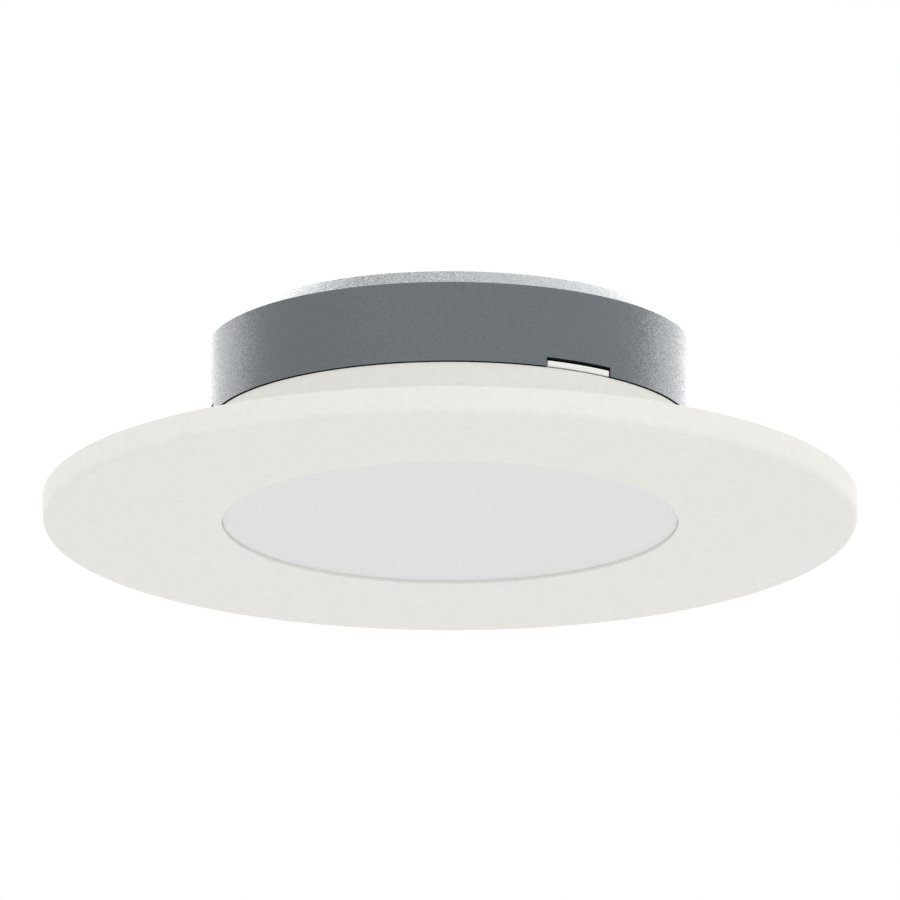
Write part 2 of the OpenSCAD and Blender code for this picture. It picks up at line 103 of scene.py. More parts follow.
def length(label, about, value):
    return FloatProperty(name=label, description=about, default=value, min=0, unit="LENGTH",
                         subtype="DISTANCE", precision=5)


def height(label, about, value):
    return FloatProperty(name=label, description=about, default=value, unit="LENGTH",
                         subtype="DISTANCE", precision=5)


def colour(label, about, value):
    return FloatVectorProperty(name=label, description=about, default=value, min=0, max=1,
                               size=3, subtype="COLOR")


class PuckSizes(PropertyGroup):
    housing_r: length("Housing radius", "Outer radius of the metal housing", high("housing").x)
    rim_z: height("Housing rim", "Height of the housing's lower rim", low("housing").z)
    bevel_w: length("Bevel width", "Width of the bevel round the back edge", 2.5 * MM)
    bevel_h: length("Bevel height", "Height of the bevel round the back edge", 2.2 * MM)
    crease_r: length("Crease radius", "Rounding of the housing's outer edges", 0.16 * MM)
    wall: length("Side wall", "Thickness of the housing's side wall", 2 * MM)
    back_t: length("Back wall", "Thickness of the housing's back wall", 2.5 * MM)
    rib_out_r: length("Heat rib radius", "Outer radius of the heat rib", high("thermal_pad").x)
    rib_w: length("Heat rib width", "Width of the heat rib", 3.4 * MM)
    rib_z: height("Heat rib foot", "Height of the heat rib's lower face", high("thermal_pad").z)
    notch_w: length("Notch width", "Width of each notch in the rim", 10 * MM)
    notch_h: length("Notch height", "Height of each notch in the rim", 1.25 * MM)
    lug_count: IntProperty(name="Lugs", description="Number of notches and lugs", default=3, min=1, max=8)
    lug_angle: FloatProperty(name="First lug", description="Angle of the first notch from +X",
                             default=math.radians(-57.4), unit="ROTATION", subtype="ANGLE")
    screw_x: length("Screw distance", "Distance of each mounting screw from the middle", 18 * MM)
    screw_hole_r: length("Screw hole radius", "Radius of each mounting screw hole", 2.15 * MM)
    screw_head_r: length("Head bore radius", "Radius of the bore for a screw's head", 3.4 * MM)
    boss_wall: length("Boss wall", "Wall of the boss round each screw bore", 1.2 * MM)
    flange_r: length("Flange radius", "Outer radius of the trim's flange", high("trim_ring").x)
    underside_z: height("Underside", "Height of the trim's lower face", low("trim_ring").z)
    flange_t: length("Flange thickness", "Thickness of the flange at its edge", 3.8 * MM)
    flange_edge_r: length("Flange edge", "Rounding of the flange's lower edge", 0.9 * MM)
    collar_r: length("Collar radius", "Radius of the collar above the flange", 31.8 * MM)
    collar_top_z: height("Collar top", "Height of the collar's upper edge", -13.12 * MM)
    sleeve_r: length("Sleeve radius", "Outer radius of the sleeve", 29.8 * MM)
    sleeve_in_r: length("Sleeve bore", "Inner radius of the sleeve", 28.25 * MM)
    sleeve_top_z: height("Sleeve top", "Height of the sleeve's upper edge", high("trim_ring").z)
    ledge_in_r: length("Ledge bore", "Inner radius of the lens ledge", 27.6 * MM)
    ledge_z: height("Ledge", "Height of the ledge that carries the lens", high("lens_gasket").z)
    shelf_z: height("Shelf", "Height of the shelf that carries the reflector", low("reflector").z)
    lens_r: length("Lens radius", "Radius of the frosted lens", high("lens").x)
    lens_gap: length("Lens gap", "Gap between the lens and its pocket", 0.05 * MM)
    core_in_r: length("Coring inner radius", "Inner radius of the hollow top of the flange", 33 * MM)
    core_out_r: length("Coring outer radius", "Outer radius of the hollow top of the flange", 44.8 * MM)
    core_z: height("Coring floor", "Height of the floor between the ribs", -24.42 * MM)
    groove_in_r: length("Foam groove inner radius", "Inner radius of the foam groove", 46 * MM)
    groove_out_r: length("Foam groove outer radius", "Outer radius of the foam groove", 50 * MM)
    rib_count: IntProperty(name="Flange ribs", description="Number of ribs on the flange", default=12, min=1)
    rib_t: length("Flange rib", "Thickness of each rib on the flange", 1.2 * MM)
    clip_w: length("Clip width", "Width of each spring clip", 6 * MM)


class PuckColours(PropertyGroup):
    metal: colour("Metal paint", "Colour of the housing", (0.044, 0.067, 0.083))
    flake: colour("Metal flakes", "Colour of the flakes in the metal paint", (0.177, 0.186, 0.191))
    plastic: colour("White plastic", "Colour of the trim", (0.800, 0.788, 0.752))
    # Painted light: a lighter copy of the trim's white, put on the lugs to make up for the shade they get in
    # their notches
    lug: colour("Lug plastic painted lighter", "Colour of the trim's lugs", (0.870, 0.862, 0.845))
    frosted: colour("Frosted lens", "Colour of the lens", (0.752, 0.738, 0.739))
    bright: colour("Bright plastic", "Colour of the reflector and lamp bodies", (0.83, 0.83, 0.81))
    rubber: colour("Rubber", "Colour of the seals", (0.022, 0.022, 0.024))
    foam: colour("Foam", "Colour of the foam gasket", (0.55, 0.555, 0.56))
    # Painted shade: a near-black colour put on the housing's inside faces so the notches and the gap above
    # each lug look dark
    inside_shade: colour("Painted inside shade", "Colour of the housing's inside", (0.030, 0.031, 0.033))
    steel: colour("Plated steel", "Colour of screws and springs", (0.60, 0.61, 0.63))
    mask: colour("White lacquer", "Colour of the lamp plate's lacquer", (0.82, 0.83, 0.83))
    board: colour("Circuit board", "Colour of the driver board's lacquer", (0.020, 0.115, 0.052))
    epoxy: colour("Moulded epoxy", "Colour of the chips", (0.016, 0.016, 0.018))
    terminal: colour("Terminal plastic", "Colour of the terminal block", (0.035, 0.165, 0.235))
    brass: colour("Brass", "Colour of terminal cages and pins", (0.71, 0.50, 0.20))
    ferrite: colour("Ferrite", "Colour of the inductor's core", (0.040, 0.040, 0.044))
    copper: colour("Copper wire", "Colour of the inductor's winding", (0.50, 0.16, 0.055))
    silicone: colour("Thermal silicone", "Colour of the thermal pad", (0.245, 0.295, 0.355))
    phosphor: colour("Phosphor", "Colour of the lamps' fillings", (0.80, 0.52, 0.045))


# Shader node helpers

def give(tree, node, inputs):
    """Links the sockets among the values to a node's inputs, and sets the plain ones."""
    for key, value in inputs.items():
        if isinstance(value, bpy.types.NodeSocket):
            tree.links.new(value, node.inputs[key])
        else:
            node.inputs[key].default_value = value


def add_node(tree, kind, inputs=None, **settings):
    """Adds a node, sets its fields, and sets or links its inputs."""
    node = tree.nodes.new(kind)
    for field, value in settings.items():
        setattr(node, field, value)
    give(tree, node, inputs or {})
    return node


def math_node(tree, operation, first, second=None, third=None, clamp=False):
    given = {i: v for i, v in enumerate((first, second, third)) if v is not None}
    return add_node(tree, "ShaderNodeMath", given, operation=operation, use_clamp=clamp).outputs[0]


def vector_node(tree, operation, inputs):
    return add_node(tree, "ShaderNodeVectorMath", inputs, operation=operation).outputs[0]


def spread(tree, value, from_low, from_high, to_low, to_high):
    """Maps a value from one range to another, clamped."""
    return add_node(tree, "ShaderNodeMapRange", {
        "Value": value, "From Min": from_low, "From Max": from_high, "To Min": to_low, "To Max": to_high,
    }).outputs["Result"]


def object_place(tree):
    return add_node(tree, "ShaderNodeTexCoord").outputs["Object"]


def effect(name, inputs, outputs, build):
    """A shader node group with named inputs and outputs, built once."""
    tree = bpy.data.node_groups.get(name)
    if tree:
        return tree
    tree = bpy.data.node_groups.new(name, "ShaderNodeTree")
    for label, value in inputs.items():
        tree.interface.new_socket(label, in_out="INPUT", socket_type="NodeSocketFloat").default_value = value
    for label in outputs:
        kind = "NodeSocketVector" if label == "Normal" else "NodeSocketFloat"
        tree.interface.new_socket(label, in_out="OUTPUT", socket_type=kind)
    entry = tree.nodes.new("NodeGroupInput")
    result = tree.nodes.new("NodeGroupOutput")
    give(tree, result, build(tree, entry.outputs))
    return tree


def build_grain(tree, given):
    """Fine irregular grain: a tone about a half, and a height."""
    scale = math_node(tree, "DIVIDE", 1, given["Size"])
    fine = add_node(tree, "ShaderNodeTexNoise", {
        "Vector": object_place(tree), "Scale": scale, "Detail": 3, "Roughness": 0.62,
    }).outputs["Fac"]
    return {"Tone": spread(tree, fine, 0.28, 0.72, 0, 1), "Height": fine}


def build_flake(tree, given):
    """Small flat flakes: each has a tone of its own, and lies a little askew."""
    scale = math_node(tree, "DIVIDE", 1, given["Size"])
    chance = add_node(tree, "ShaderNodeTexVoronoi", {
        "Vector": object_place(tree), "Scale": scale,
    }).outputs["Color"]
    tone = add_node(tree, "ShaderNodeSeparateColor", {"Color": chance}).outputs["Red"]
    even = vector_node(tree, "SUBTRACT", {0: chance, 1: (0.5, 0.5, 0.5)})
    lean = vector_node(tree, "SCALE", {0: even, "Scale": given["Tilt"]})
    upright = add_node(tree, "ShaderNodeNewGeometry").outputs["Normal"]
    askew = vector_node(tree, "ADD", {0: upright, 1: lean})
    return {"Tone": tone, "Normal": vector_node(tree, "NORMALIZE", {0: askew})}


def build_mottle(tree, given):
    """Soft uneven patches."""
    scale = math_node(tree, "DIVIDE", 1, given["Size"])
    patches = add_node(tree, "ShaderNodeTexNoise", {
        "Vector": object_place(tree), "Scale": scale, "Detail": 4, "Roughness": 0.55, "Distortion": 0.4,
    }).outputs["Fac"]
    return {"Patch": spread(tree, patches, 0.3, 0.7, 0, 1)}


def build_weave(tree, given):
    """Square glass-cloth weave: threads that pass over and under each other."""
    scale = math_node(tree, "DIVIDE", math.pi, given["Pitch"])
    parts = add_node(tree, "ShaderNodeSeparateXYZ", {"Vector": object_place(tree)}).outputs
    waves = [math_node(tree, "SINE", math_node(tree, "MULTIPLY", parts[axis], scale)) for axis in (0, 1)]
    ridges = [math_node(tree, "ABSOLUTE", wave) for wave in waves]
    share = spread(tree, math_node(tree, "MULTIPLY", waves[0], waves[1]), -0.05, 0.05, 0, 1)
    kept = math_node(tree, "MULTIPLY", ridges[0], share)
    other = math_node(tree, "MULTIPLY", ridges[1], math_node(tree, "SUBTRACT", 1, share))
    return {"Height": math_node(tree, "ADD", kept, other)}


def build_wear(tree, given):
    """Mask of rubbed edges, broken up by noise."""
    pointed = add_node(tree, "ShaderNodeNewGeometry").outputs["Pointiness"]
    edge = spread(tree, pointed, 0.52, 0.62, 0, 1)
    breaks_per_metre = 900
    breaks = add_node(tree, "ShaderNodeTexNoise", {
        "Vector": object_place(tree), "Scale": breaks_per_metre, "Detail": 3,
    }).outputs["Fac"]
    worn = math_node(tree, "MULTIPLY", edge, spread(tree, breaks, 0.4, 0.62, 0, 1))
    return {"Mask": math_node(tree, "MULTIPLY", worn, given["Amount"], clamp=True)}


EFFECTS = {
    "Fine grain": ({"Size": 0.2 * MM}, ("Tone", "Height"), build_grain),
    "Metal flake": ({"Size": 0.2 * MM, "Tilt": 0.2}, ("Tone", "Normal"), build_flake),
    "Soft mottle": ({"Size": 8 * MM}, ("Patch",), build_mottle),
    "Glass weave": ({"Pitch": 0.5 * MM}, ("Height",), build_weave),
    "Edge wear": ({"Amount": 1}, ("Mask",), build_wear),
}


def use(tree, name, **values):
    """Places an effect in a material with values of its own."""
    node = add_node(tree, "ShaderNodeGroup", node_tree=effect(name, *EFFECTS[name]))
    give(tree, node, values)
    return node.outputs


def shade(colour, factor=1.0):
    return tuple(min(1, c * factor) for c in colour) + (1,)


def mix_colour(tree, factor, first, second):
    """Mixes two colours or colour sockets by a factor."""
    return add_node(tree, "ShaderNodeMix", {0: factor, 6: first, 7: second}, data_type="RGBA").outputs[2]


def tinted(tree, factor, colour, darkest, lightest):
    """Shades of one colour, by a factor."""
    return mix_colour(tree, factor, shade(colour, darkest), shade(colour, lightest))


def bump(tree, height, distance, below=None):
    """A bump of that depth in metres, over another one if given."""
    inputs = {"Height": height, "Distance": distance, "Strength": 1.0}
    if below is not None:
        inputs["Normal"] = below
    return add_node(tree, "ShaderNodeBump", inputs).outputs["Normal"]


def side_mask(tree):
    """Mask of the sides of a flat plate."""
    normal = add_node(tree, "ShaderNodeNewGeometry").outputs["True Normal"]
    facing = add_node(tree, "ShaderNodeSeparateXYZ", {"Vector": normal}).outputs[2]
    return spread(tree, math_node(tree, "ABSOLUTE", facing), 0.5, 0.6, 1, 0)


def new_material(name):
    """An empty node material: its tree, and its Principled shader."""
    material = bpy.data.materials.new(name)
    material.use_nodes = True
    tree = material.node_tree
    tree.nodes.clear()
    shader = add_node(tree, "ShaderNodeBsdfPrincipled")
    add_node(tree, "ShaderNodeOutputMaterial", {"Surface": shader.outputs["BSDF"]})
    return material, tree, shader


def finish(name, base, roughness, metallic=0.0, specular=0.5, coat=0.0, grain_size=0.2 * MM, tone=0.04,
           grain_depth=0.004 * MM, patch_size=8 * MM, patch=0.03, rough_spread=0.05, wear=0.0,
           worn=(0.7, 0.7, 0.7)):
    """A material with grain, soft patches, uneven roughness and, if asked for, rubbed edges."""
    found = bpy.data.materials.get(name)
    if found:
        return found
    material, tree, shader = new_material(name)
    grain = use(tree, "Fine grain", Size=grain_size)
    mottle = use(tree, "Soft mottle", Size=patch_size)["Patch"]
    clear = tinted(tree, grain["Tone"], base, 1 - tone, 1 + tone)
    patched = tinted(tree, grain["Tone"], base, (1 - tone) * (1 - patch), (1 + tone) * (1 - patch))
    tint = mix_colour(tree, mottle, patched, clear)
    if wear:
        tint = mix_colour(tree, use(tree, "Edge wear", Amount=wear)["Mask"], tint, shade(worn))
    rough = math_node(tree, "MULTIPLY_ADD", math_node(tree, "ADD", grain["Tone"], mottle), rough_spread,
                      roughness - rough_spread)
    give(tree, shader, {
        "Base Color": tint, "Roughness": rough, "Metallic": metallic, "Specular IOR Level": specular,
        "Coat Weight": coat, "Coat Roughness": 0.12, "Normal": bump(tree, grain["Height"], grain_depth),
    })
    return material


# Materials

def metal_paint(colours):
    """Dark lacquer, with a share of its small cells taken up by plain metal flakes."""
    material, tree, shader = new_material("Metal paint")
    flake = use(tree, "Metal flake", Size=0.15 * MM, Tilt=0.16)
    mottle = use(tree, "Soft mottle", Size=14 * MM)["Patch"]
    metal = spread(tree, flake["Tone"], 0.60, 0.70, 0, 1)
    lacquer = tinted(tree, flake["Tone"], colours.metal, 0.8, 1.4)
    give(tree, shader, {
        "Base Color": mix_colour(tree, metal, lacquer, shade(colours.flake)), "Metallic": metal,
        "Roughness": spread(tree, mottle, 0, 1, 0.29, 0.32), "IOR": 2.0, "Normal": flake["Normal"],
    })
    return material


# Painted shade: a near-black matte finish for the housing's inside faces, in place of the shade that falls
# inside the housing
def painted_inside_shade_material(colours):
    return finish("Painted inside shade", colours.inside_shade, 0.85, specular=0.0, tone=0.15, grain_depth=0.008 * MM,
                  patch_size=6 * MM, patch=0.1)


def white_plastic(colours):
    return finish("White plastic", colours.plastic, 0.72, specular=0.05, grain_size=0.9 * MM,
                  tone=0.028, grain_depth=0.008 * MM, patch_size=5 * MM, patch=0.006)


# Painted light: the trim's white plastic made lighter for the lugs, in place of light that their notches
# keep from them
def lug_plastic_painted_lighter(colours):
    return finish("Lug plastic painted lighter", colours.lug, 0.6, specular=0.2, grain_size=0.5 * MM, tone=0.012,
                  patch_size=4 * MM, patch=0.006)


def frosted_plastic(colours):
    return finish("Frosted plastic", colours.frosted, 0.55, specular=0.25, grain_size=0.5 * MM,
                  tone=0.065, grain_depth=0.006 * MM, patch_size=6 * MM, patch=0.006)


def bright_plastic(colours):
    return finish("Bright plastic", colours.bright, 0.32, grain_size=0.3 * MM, tone=0.008,
                  grain_depth=0.002 * MM, patch=0.01)


def rubber(colours):
    return finish("Rubber", colours.rubber, 0.62, specular=0.35, grain_size=0.12 * MM, tone=0.2,
                  grain_depth=0.006 * MM, patch_size=3 * MM, patch=0.2, wear=0.35, worn=(0.1, 0.1, 0.1))


def plated_steel(colours):
    return finish("Plated steel", colours.steel, 0.30, metallic=1.0, grain_size=0.15 * MM, tone=0.05,
                  grain_depth=0.002 * MM, patch_size=1.5 * MM, patch=0.10, rough_spread=0.07)


def moulded_epoxy(colours):
    return finish("Moulded epoxy", colours.epoxy, 0.55, grain_size=0.08 * MM, tone=0.25,
                  patch_size=2 * MM, patch=0.15, wear=0.5, worn=(0.06, 0.06, 0.06))


def brass_metal(colours):
    return finish("Brass", colours.brass, 0.28, metallic=1.0, tone=0.06, grain_depth=0.002 * MM,
                  patch_size=2 * MM, patch=0.15, rough_spread=0.06)


def foam_rubber(colours):
    """Closed-cell foam: round cells, with painted shade in their floors and painted light on their pale
    rims.
    """
    material, tree, shader = new_material("Foam")
    cell = 0.45 * MM
    depth = add_node(tree, "ShaderNodeTexVoronoi", {"Vector": object_place(tree), "Scale": 1 / cell},
                     feature="SMOOTH_F1").outputs["Distance"]
    grain = use(tree, "Fine grain", Size=0.15 * MM)
    grained = bump(tree, grain["Height"], 0.01 * MM)
    give(tree, shader, {
        # Painted shade and light: the base colour darkens towards each cell's floor and lightens towards its
        # rim
        "Base Color": tinted(tree, spread(tree, depth, 0.15, 0.75, 0, 1), colours.foam, 0.72, 1.3),
        "Roughness": spread(tree, grain["Tone"], 0, 1, 0.82, 0.95),
        "Specular IOR Level": 0.2, "Normal": bump(tree, depth, 0.12 * MM, grained),
    })
    return material


def lamp_lacquer(colours):
    """White lacquer on the plate's faces over raised copper tracks, and bare metal at its edges."""
    material, tree, shader = new_material("White lacquer")
    parts = add_node(tree, "ShaderNodeSeparateXYZ", {"Vector": object_place(tree)}).outputs
    flat = add_node(tree, "ShaderNodeCombineXYZ", {"X": parts[0], "Y": parts[1]}).outputs[0]
    reach = add_node(tree, "ShaderNodeVectorMath", {0: flat}, operation="LENGTH").outputs["Value"]
    tracks, half_w = None, 1.8 * MM
    for at in LAMP_RINGS:
        off = math_node(tree, "ABSOLUTE", math_node(tree, "SUBTRACT", reach, at))
        track = spread(tree, off, half_w + 0.1 * MM, half_w, 0, 1)
        tracks = track if tracks is None else math_node(tree, "MAXIMUM", tracks, track)
    grain = use(tree, "Fine grain", Size=0.25 * MM)
    mottle = use(tree, "Soft mottle", Size=6 * MM)["Patch"]
    lacquer = tinted(tree, tracks, colours.mask, 0.94, 1)
    lacquer = mix_colour(tree, math_node(tree, "MULTIPLY", mottle, 0.25), lacquer, shade(colours.mask, 0.96))
    bare_metal = (0.68, 0.69, 0.70, 1)
    edge = side_mask(tree)
    grained = bump(tree, grain["Height"], 0.002 * MM)
    give(tree, shader, {
        "Base Color": mix_colour(tree, edge, lacquer, bare_metal), "Metallic": edge,
        "Roughness": spread(tree, grain["Tone"], 0, 1, 0.34, 0.44),
        "Normal": bump(tree, tracks, 0.035 * MM, grained),
    })
    return material


def board_lacquer(colours):
    """Green lacquer over copper tracks and glass cloth, with bare laminate at the edges."""
    material, tree, shader = new_material("Board lacquer")
    gaps = add_node(tree, "ShaderNodeTexBrick", {
        "Vector": object_place(tree), "Scale": 1, "Mortar Size": 0.18 * MM, "Mortar Smooth": 0.2,
        "Brick Width": 6.5 * MM, "Row Height": 2.3 * MM, "Color1": (1, 1, 1, 1),
        "Color2": (0.9, 0.9, 0.9, 1), "Mortar": (0, 0, 0, 1),
    }).outputs["Fac"]
    copper = math_node(tree, "SUBTRACT", 1, gaps)
    weave = use(tree, "Glass weave", Pitch=0.42 * MM)["Height"]
    mottle = use(tree, "Soft mottle", Size=5 * MM)["Patch"]
    lacquer = tinted(tree, copper, colours.board, 0.62, 1.15)
    lacquer = mix_colour(tree, math_node(tree, "MULTIPLY", mottle, 0.3), lacquer, shade(colours.board, 0.8))
    laminate = (0.30, 0.27, 0.13, 1)
    woven = bump(tree, weave, 0.004 * MM)
    give(tree, shader, {
        "Base Color": mix_colour(tree, side_mask(tree), lacquer, laminate),
        "Roughness": spread(tree, weave, 0, 1, 0.24, 0.32),
        "Normal": bump(tree, copper, 0.03 * MM, woven),
    })
    return material


def terminal_plastic(colours):
    return finish("Terminal plastic", colours.terminal, 0.38, tone=0.05, grain_depth=0.003 * MM,
                  patch_size=3 * MM, patch=0.08)


def sintered_ferrite(colours):
    return finish("Sintered ferrite", colours.ferrite, 0.5, grain_size=0.1 * MM, tone=0.3,
                  grain_depth=0.010 * MM, patch_size=1.5 * MM, patch=0.25, wear=0.6, worn=(0.12, 0.12, 0.13))


def enamelled_copper(colours):
    return finish("Enamelled copper", colours.copper, 0.26, metallic=1.0, coat=0.6, grain_size=0.15 * MM,
                  tone=0.08, grain_depth=0.001 * MM, patch_size=1.2 * MM, patch=0.18)


def thermal_silicone(colours):
    """Soft grey-blue pad with the print of its glass cloth."""
    material, tree, shader = new_material("Thermal silicone")
    weave = use(tree, "Glass weave", Pitch=0.35 * MM)["Height"]
    grain = use(tree, "Fine grain", Size=0.12 * MM)
    give(tree, shader, {
        "Base Color": tinted(tree, weave, colours.silicone, 0.85, 1.08),
        "Roughness": spread(tree, grain["Tone"], 0, 1, 0.6, 0.72), "Normal": bump(tree, weave, 0.02 * MM),
    })
    return material


def phosphor_silicone(colours):
    return finish("Phosphor silicone", colours.phosphor, 0.3, coat=0.5, grain_size=0.08 * MM, tone=0.09,
                  grain_depth=0.002 * MM, patch_size=0.8 * MM, patch=0.08)


# Mesh helpers

def polar(reach, angle):
    """The x and y of a point from its distance and angle."""
    return reach * math.cos(angle), reach * math.sin(angle)


def rounded(corners, steps=4):
    """Closed outline through (radius, height, rounding) corners, with an arc at each rounded one."""
    outline = []
    for i, (x, z, rounding) in enumerate(corners):
        here = Vector((x, z))
        if rounding <= 0:
            outline.append(here)
            continue
        back = (Vector(corners[i - 1][:2]) - here).normalized()
        ahead = (Vector(corners[(i + 1) % len(corners)][:2]) - here).normalized()
        half = back.angle(ahead) / 2
        centre = here + (back + ahead).normalized() * rounding / math.sin(half)
        start = here + back * rounding / math.tan(half) - centre
        end = here + ahead * rounding / math.tan(half) - centre
        turn = math.atan2(start.cross(end), start.dot(end))
        outline += [centre + Matrix.Rotation(turn * step / steps, 2) @ start for step in range(steps + 1)]
    return outline


def outward(bm):
    """The same mesh with its faces pointing outwards."""
    bmesh.ops.recalc_face_normals(bm, faces=bm.faces)
    return bm


def lathe(outline, steps=ROUND_STEPS):
    """Turns a closed outline of (radius, height) points about the Z axis."""
    bm = bmesh.new()
    rings = []
    for r, z in outline:
        if r < TINY:
            rings.append([bm.verts.new((0, 0, z))] * steps)
        else:
            rings.append([bm.verts.new((*polar(r, TURN * k / steps), z)) for k in range(steps)])
    for i, ring in enumerate(rings):
        below = rings[i - 1]
        for k in range(steps):
            n = (k + 1) % steps
            loop = list(dict.fromkeys((ring[k], ring[n], below[n], below[k])))
            if len(loop) > 2:
                bm.faces.new(loop)
    return outward(bm)


def turned(corners, steps=ROUND_STEPS, arc_steps=4):
    """A turned shape from (radius, height, rounding) corners."""
    return lathe(rounded(corners, arc_steps), steps)


def extrude(outline, z0, z1):
    """A straight prism over a closed outline of (x, y) points."""
    bm = bmesh.new()
    lower = [bm.verts.new((x, y, z0)) for x, y in outline]
    upper = [bm.verts.new((x, y, z1)) for x, y in outline]
    bm.faces.new(lower)
    bm.faces.new(upper)
    for i in range(len(lower)):
        bm.faces.new((lower[i - 1], lower[i], upper[i], upper[i - 1]))
    return outward(bm)


def round_edges(bm, edges, width):
    bmesh.ops.bevel(bm, geom=edges, offset=width, segments=2, profile=0.5, affect="EDGES",
                    clamp_overlap=True)
    return bm


def soften(bm, width):
    """Rounds every edge that is sharper than the soft angle."""
    sharp = [e for e in bm.edges if len(e.link_faces) == 2 and e.calc_face_angle() > SOFT_ANGLE]
    return round_edges(bm, sharp, width)


def block(size, z0, edge=0.08 * MM):
    """A box centred in plan that stands on one height, with rounded edges."""
    bm = bmesh.new()
    place = Matrix.Translation((0, 0, z0 + size[2] / 2)) @ Matrix.Diagonal((*size, 1))
    bmesh.ops.create_cube(bm, size=1, matrix=place)
    return soften(bm, edge) if edge else bm


def pin(radius, z0, z1, edge=0.05 * MM, steps=SMALL_STEPS, arc_steps=3):
    """A round post or plate between two heights, with rounded ends."""
    return turned([(0, z0, 0), (radius, z0, edge), (radius, z1, edge), (0, z1, 0)], steps, arc_steps)


def bore(radius, z0, z1, steps=SMALL_STEPS):
    """A post with sharp ends, to cut a hole with."""
    return pin(radius, z0, z1, 0, steps)


def hoop(in_r, out_r, z0, z1, edge, arc_steps=4):
    """A flat ring between two heights, with rounded edges."""
    return turned([(in_r, z0, edge), (out_r, z0, edge), (out_r, z1, edge), (in_r, z1, edge)],
                  arc_steps=arc_steps)


def tube(path, radius, sides):
    """A round wire along a list of points, closed at its ends."""
    bm = bmesh.new()
    rings = []
    across = None
    for i, point in enumerate(path):
        ahead = (path[min(i + 1, len(path) - 1)] - path[max(i - 1, 0)]).normalized()
        across = ahead.orthogonal() if across is None else across - ahead * across.dot(ahead)
        across.normalize()
        other = ahead.cross(across)
        rings.append([bm.verts.new(point + radius * (across * math.cos(TURN * k / sides)
                                                     + other * math.sin(TURN * k / sides)))
                      for k in range(sides)])
    for first, second in zip(rings, rings[1:]):
        for k in range(sides):
            n = (k + 1) % sides
            bm.faces.new((first[k], first[n], second[n], second[k]))
    bm.faces.new(rings[0])
    bm.faces.new(rings[-1])
    return outward(bm)


def shift(x=0.0, y=0.0, z=0.0):
    return Matrix.Translation((x, y, z))


def spin(angle):
    return Matrix.Rotation(angle, 4, "Z")


def around(count, first, distance=0.0):
    """Places spread evenly round the axis."""
    return [spin(first + TURN * k / count) @ shift(distance) for k in range(count)]


def pair(x, y=0.0):
    """Places on both sides of the Y axis."""
    return [shift(-x, y), shift(x, y)]


def copies(bm, places, index=0):
    """One part for each place, all with that material index."""
    return [(bm, at, index) for at in places]


def gather(parts):
    """One mesh from (bmesh, place, material index) parts."""
    total = bmesh.new()
    for bm, place, index in parts:
        scratch = bpy.data.meshes.new("scratch")
        bm.to_mesh(scratch)
        scratch.transform(place)
        start = len(total.faces)
        total.from_mesh(scratch)
        total.faces.ensure_lookup_table()
        for face in total.faces[start:]:
            face.material_index = index
        bpy.data.meshes.remove(scratch)
    return total


def solid(name, bm, *materials):
    """An object from a mesh under construction."""
    mesh = bpy.data.meshes.new(name)
    bm.to_mesh(mesh)
    bm.free()
    piece = bpy.data.objects.new(name, mesh)
    bpy.context.scene.collection.objects.link(piece)
    for material in materials:
        mesh.materials.append(material)
    return piece


def discard(piece):
    """Removes an object and its mesh."""
    mesh = piece.data
    bpy.data.objects.remove(piece)
    bpy.data.meshes.remove(mesh)


def taken(piece):
    """The mesh of a piece for use in others; the piece itself is removed."""
    bm = bmesh.new()
    bm.from_mesh(piece.data)
    discard(piece)
    return bm


def carve(piece, *groups, operation="DIFFERENCE"):
    """Cuts groups of parts out of a piece, or joins them to it, and keeps the result as its mesh."""
    cutters = [solid("cutter", gather(group), *piece.data.materials) for group in groups]
    for cutter in cutters:
        step = piece.modifiers.new("carve", "BOOLEAN")
        step.operation = operation
        step.object = cutter
        step.solver = "MANIFOLD"
    graph = bpy.context.evaluated_depsgraph_get()
    result = bpy.data.meshes.new_from_object(piece.evaluated_get(graph))
    old = piece.data
    piece.modifiers.clear()
    piece.data = result
    result.name = old.name
    bpy.data.meshes.remove(old)
    for cutter in cutters:
        discard(cutter)
    if not piece.data.polygons:
        raise RuntimeError(f"nothing is left of {piece.name} after the cut")
    return piece


def place_piece(piece, body, slot, *nodes):
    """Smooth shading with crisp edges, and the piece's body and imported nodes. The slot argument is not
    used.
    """
    mesh = piece.data
    mesh.shade_smooth()
    mesh.set_sharp_from_angle(angle=SHARP_ANGLE)
    even = piece.modifiers.new("even normals", "WEIGHTED_NORMAL")
    even.keep_sharp = True
    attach(piece, body)
    if nodes:
        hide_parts(*nodes)
    return piece


def fit(name, parts, materials, slot, *nodes):
    """A piece of the housing from (bmesh, place, material index) parts."""
    return place_piece(solid(name, gather(parts), *materials), "housing", slot, *nodes)


def screw_form(shank_r, head_r, head_h, length):
    """A cross-slotted pan screw, head down, with the seat of its head at height zero."""
    pitch, root = 0.45 * MM, shank_r * 0.82
    corners = [(0, -head_h, 0), (head_r * 0.72, -head_h, head_h * 0.3),
               (head_r, -head_h * 0.45, head_h * 0.2), (head_r, 0, 0.06 * MM), (root, 0, 0)]
    z = 0.25 * MM
    while z + pitch < length - shank_r * 0.6:
        corners += [(root, z, 0), (shank_r, z + pitch / 2, 0.04 * MM)]
        z += pitch
    corners += [(root, z, 0), (shank_r * 0.45, length, 0.05 * MM), (0, length, 0)]
    slot_w = slot_depth = 0.5 * MM
    slot = block((head_r * 1.3, slot_w, slot_depth + CUT), -head_h - CUT, 0)
    screw = solid("screw", turned(corners, SMALL_STEPS, 3))
    return taken(carve(screw, copies(slot, [spin(0)]), copies(slot, [spin(TURN / 4)])))


def board_radius(s):
    """The radius of the driver board, which fits inside the heat rib."""
    return s.rib_out_r - s.rib_w - 1.2 * MM


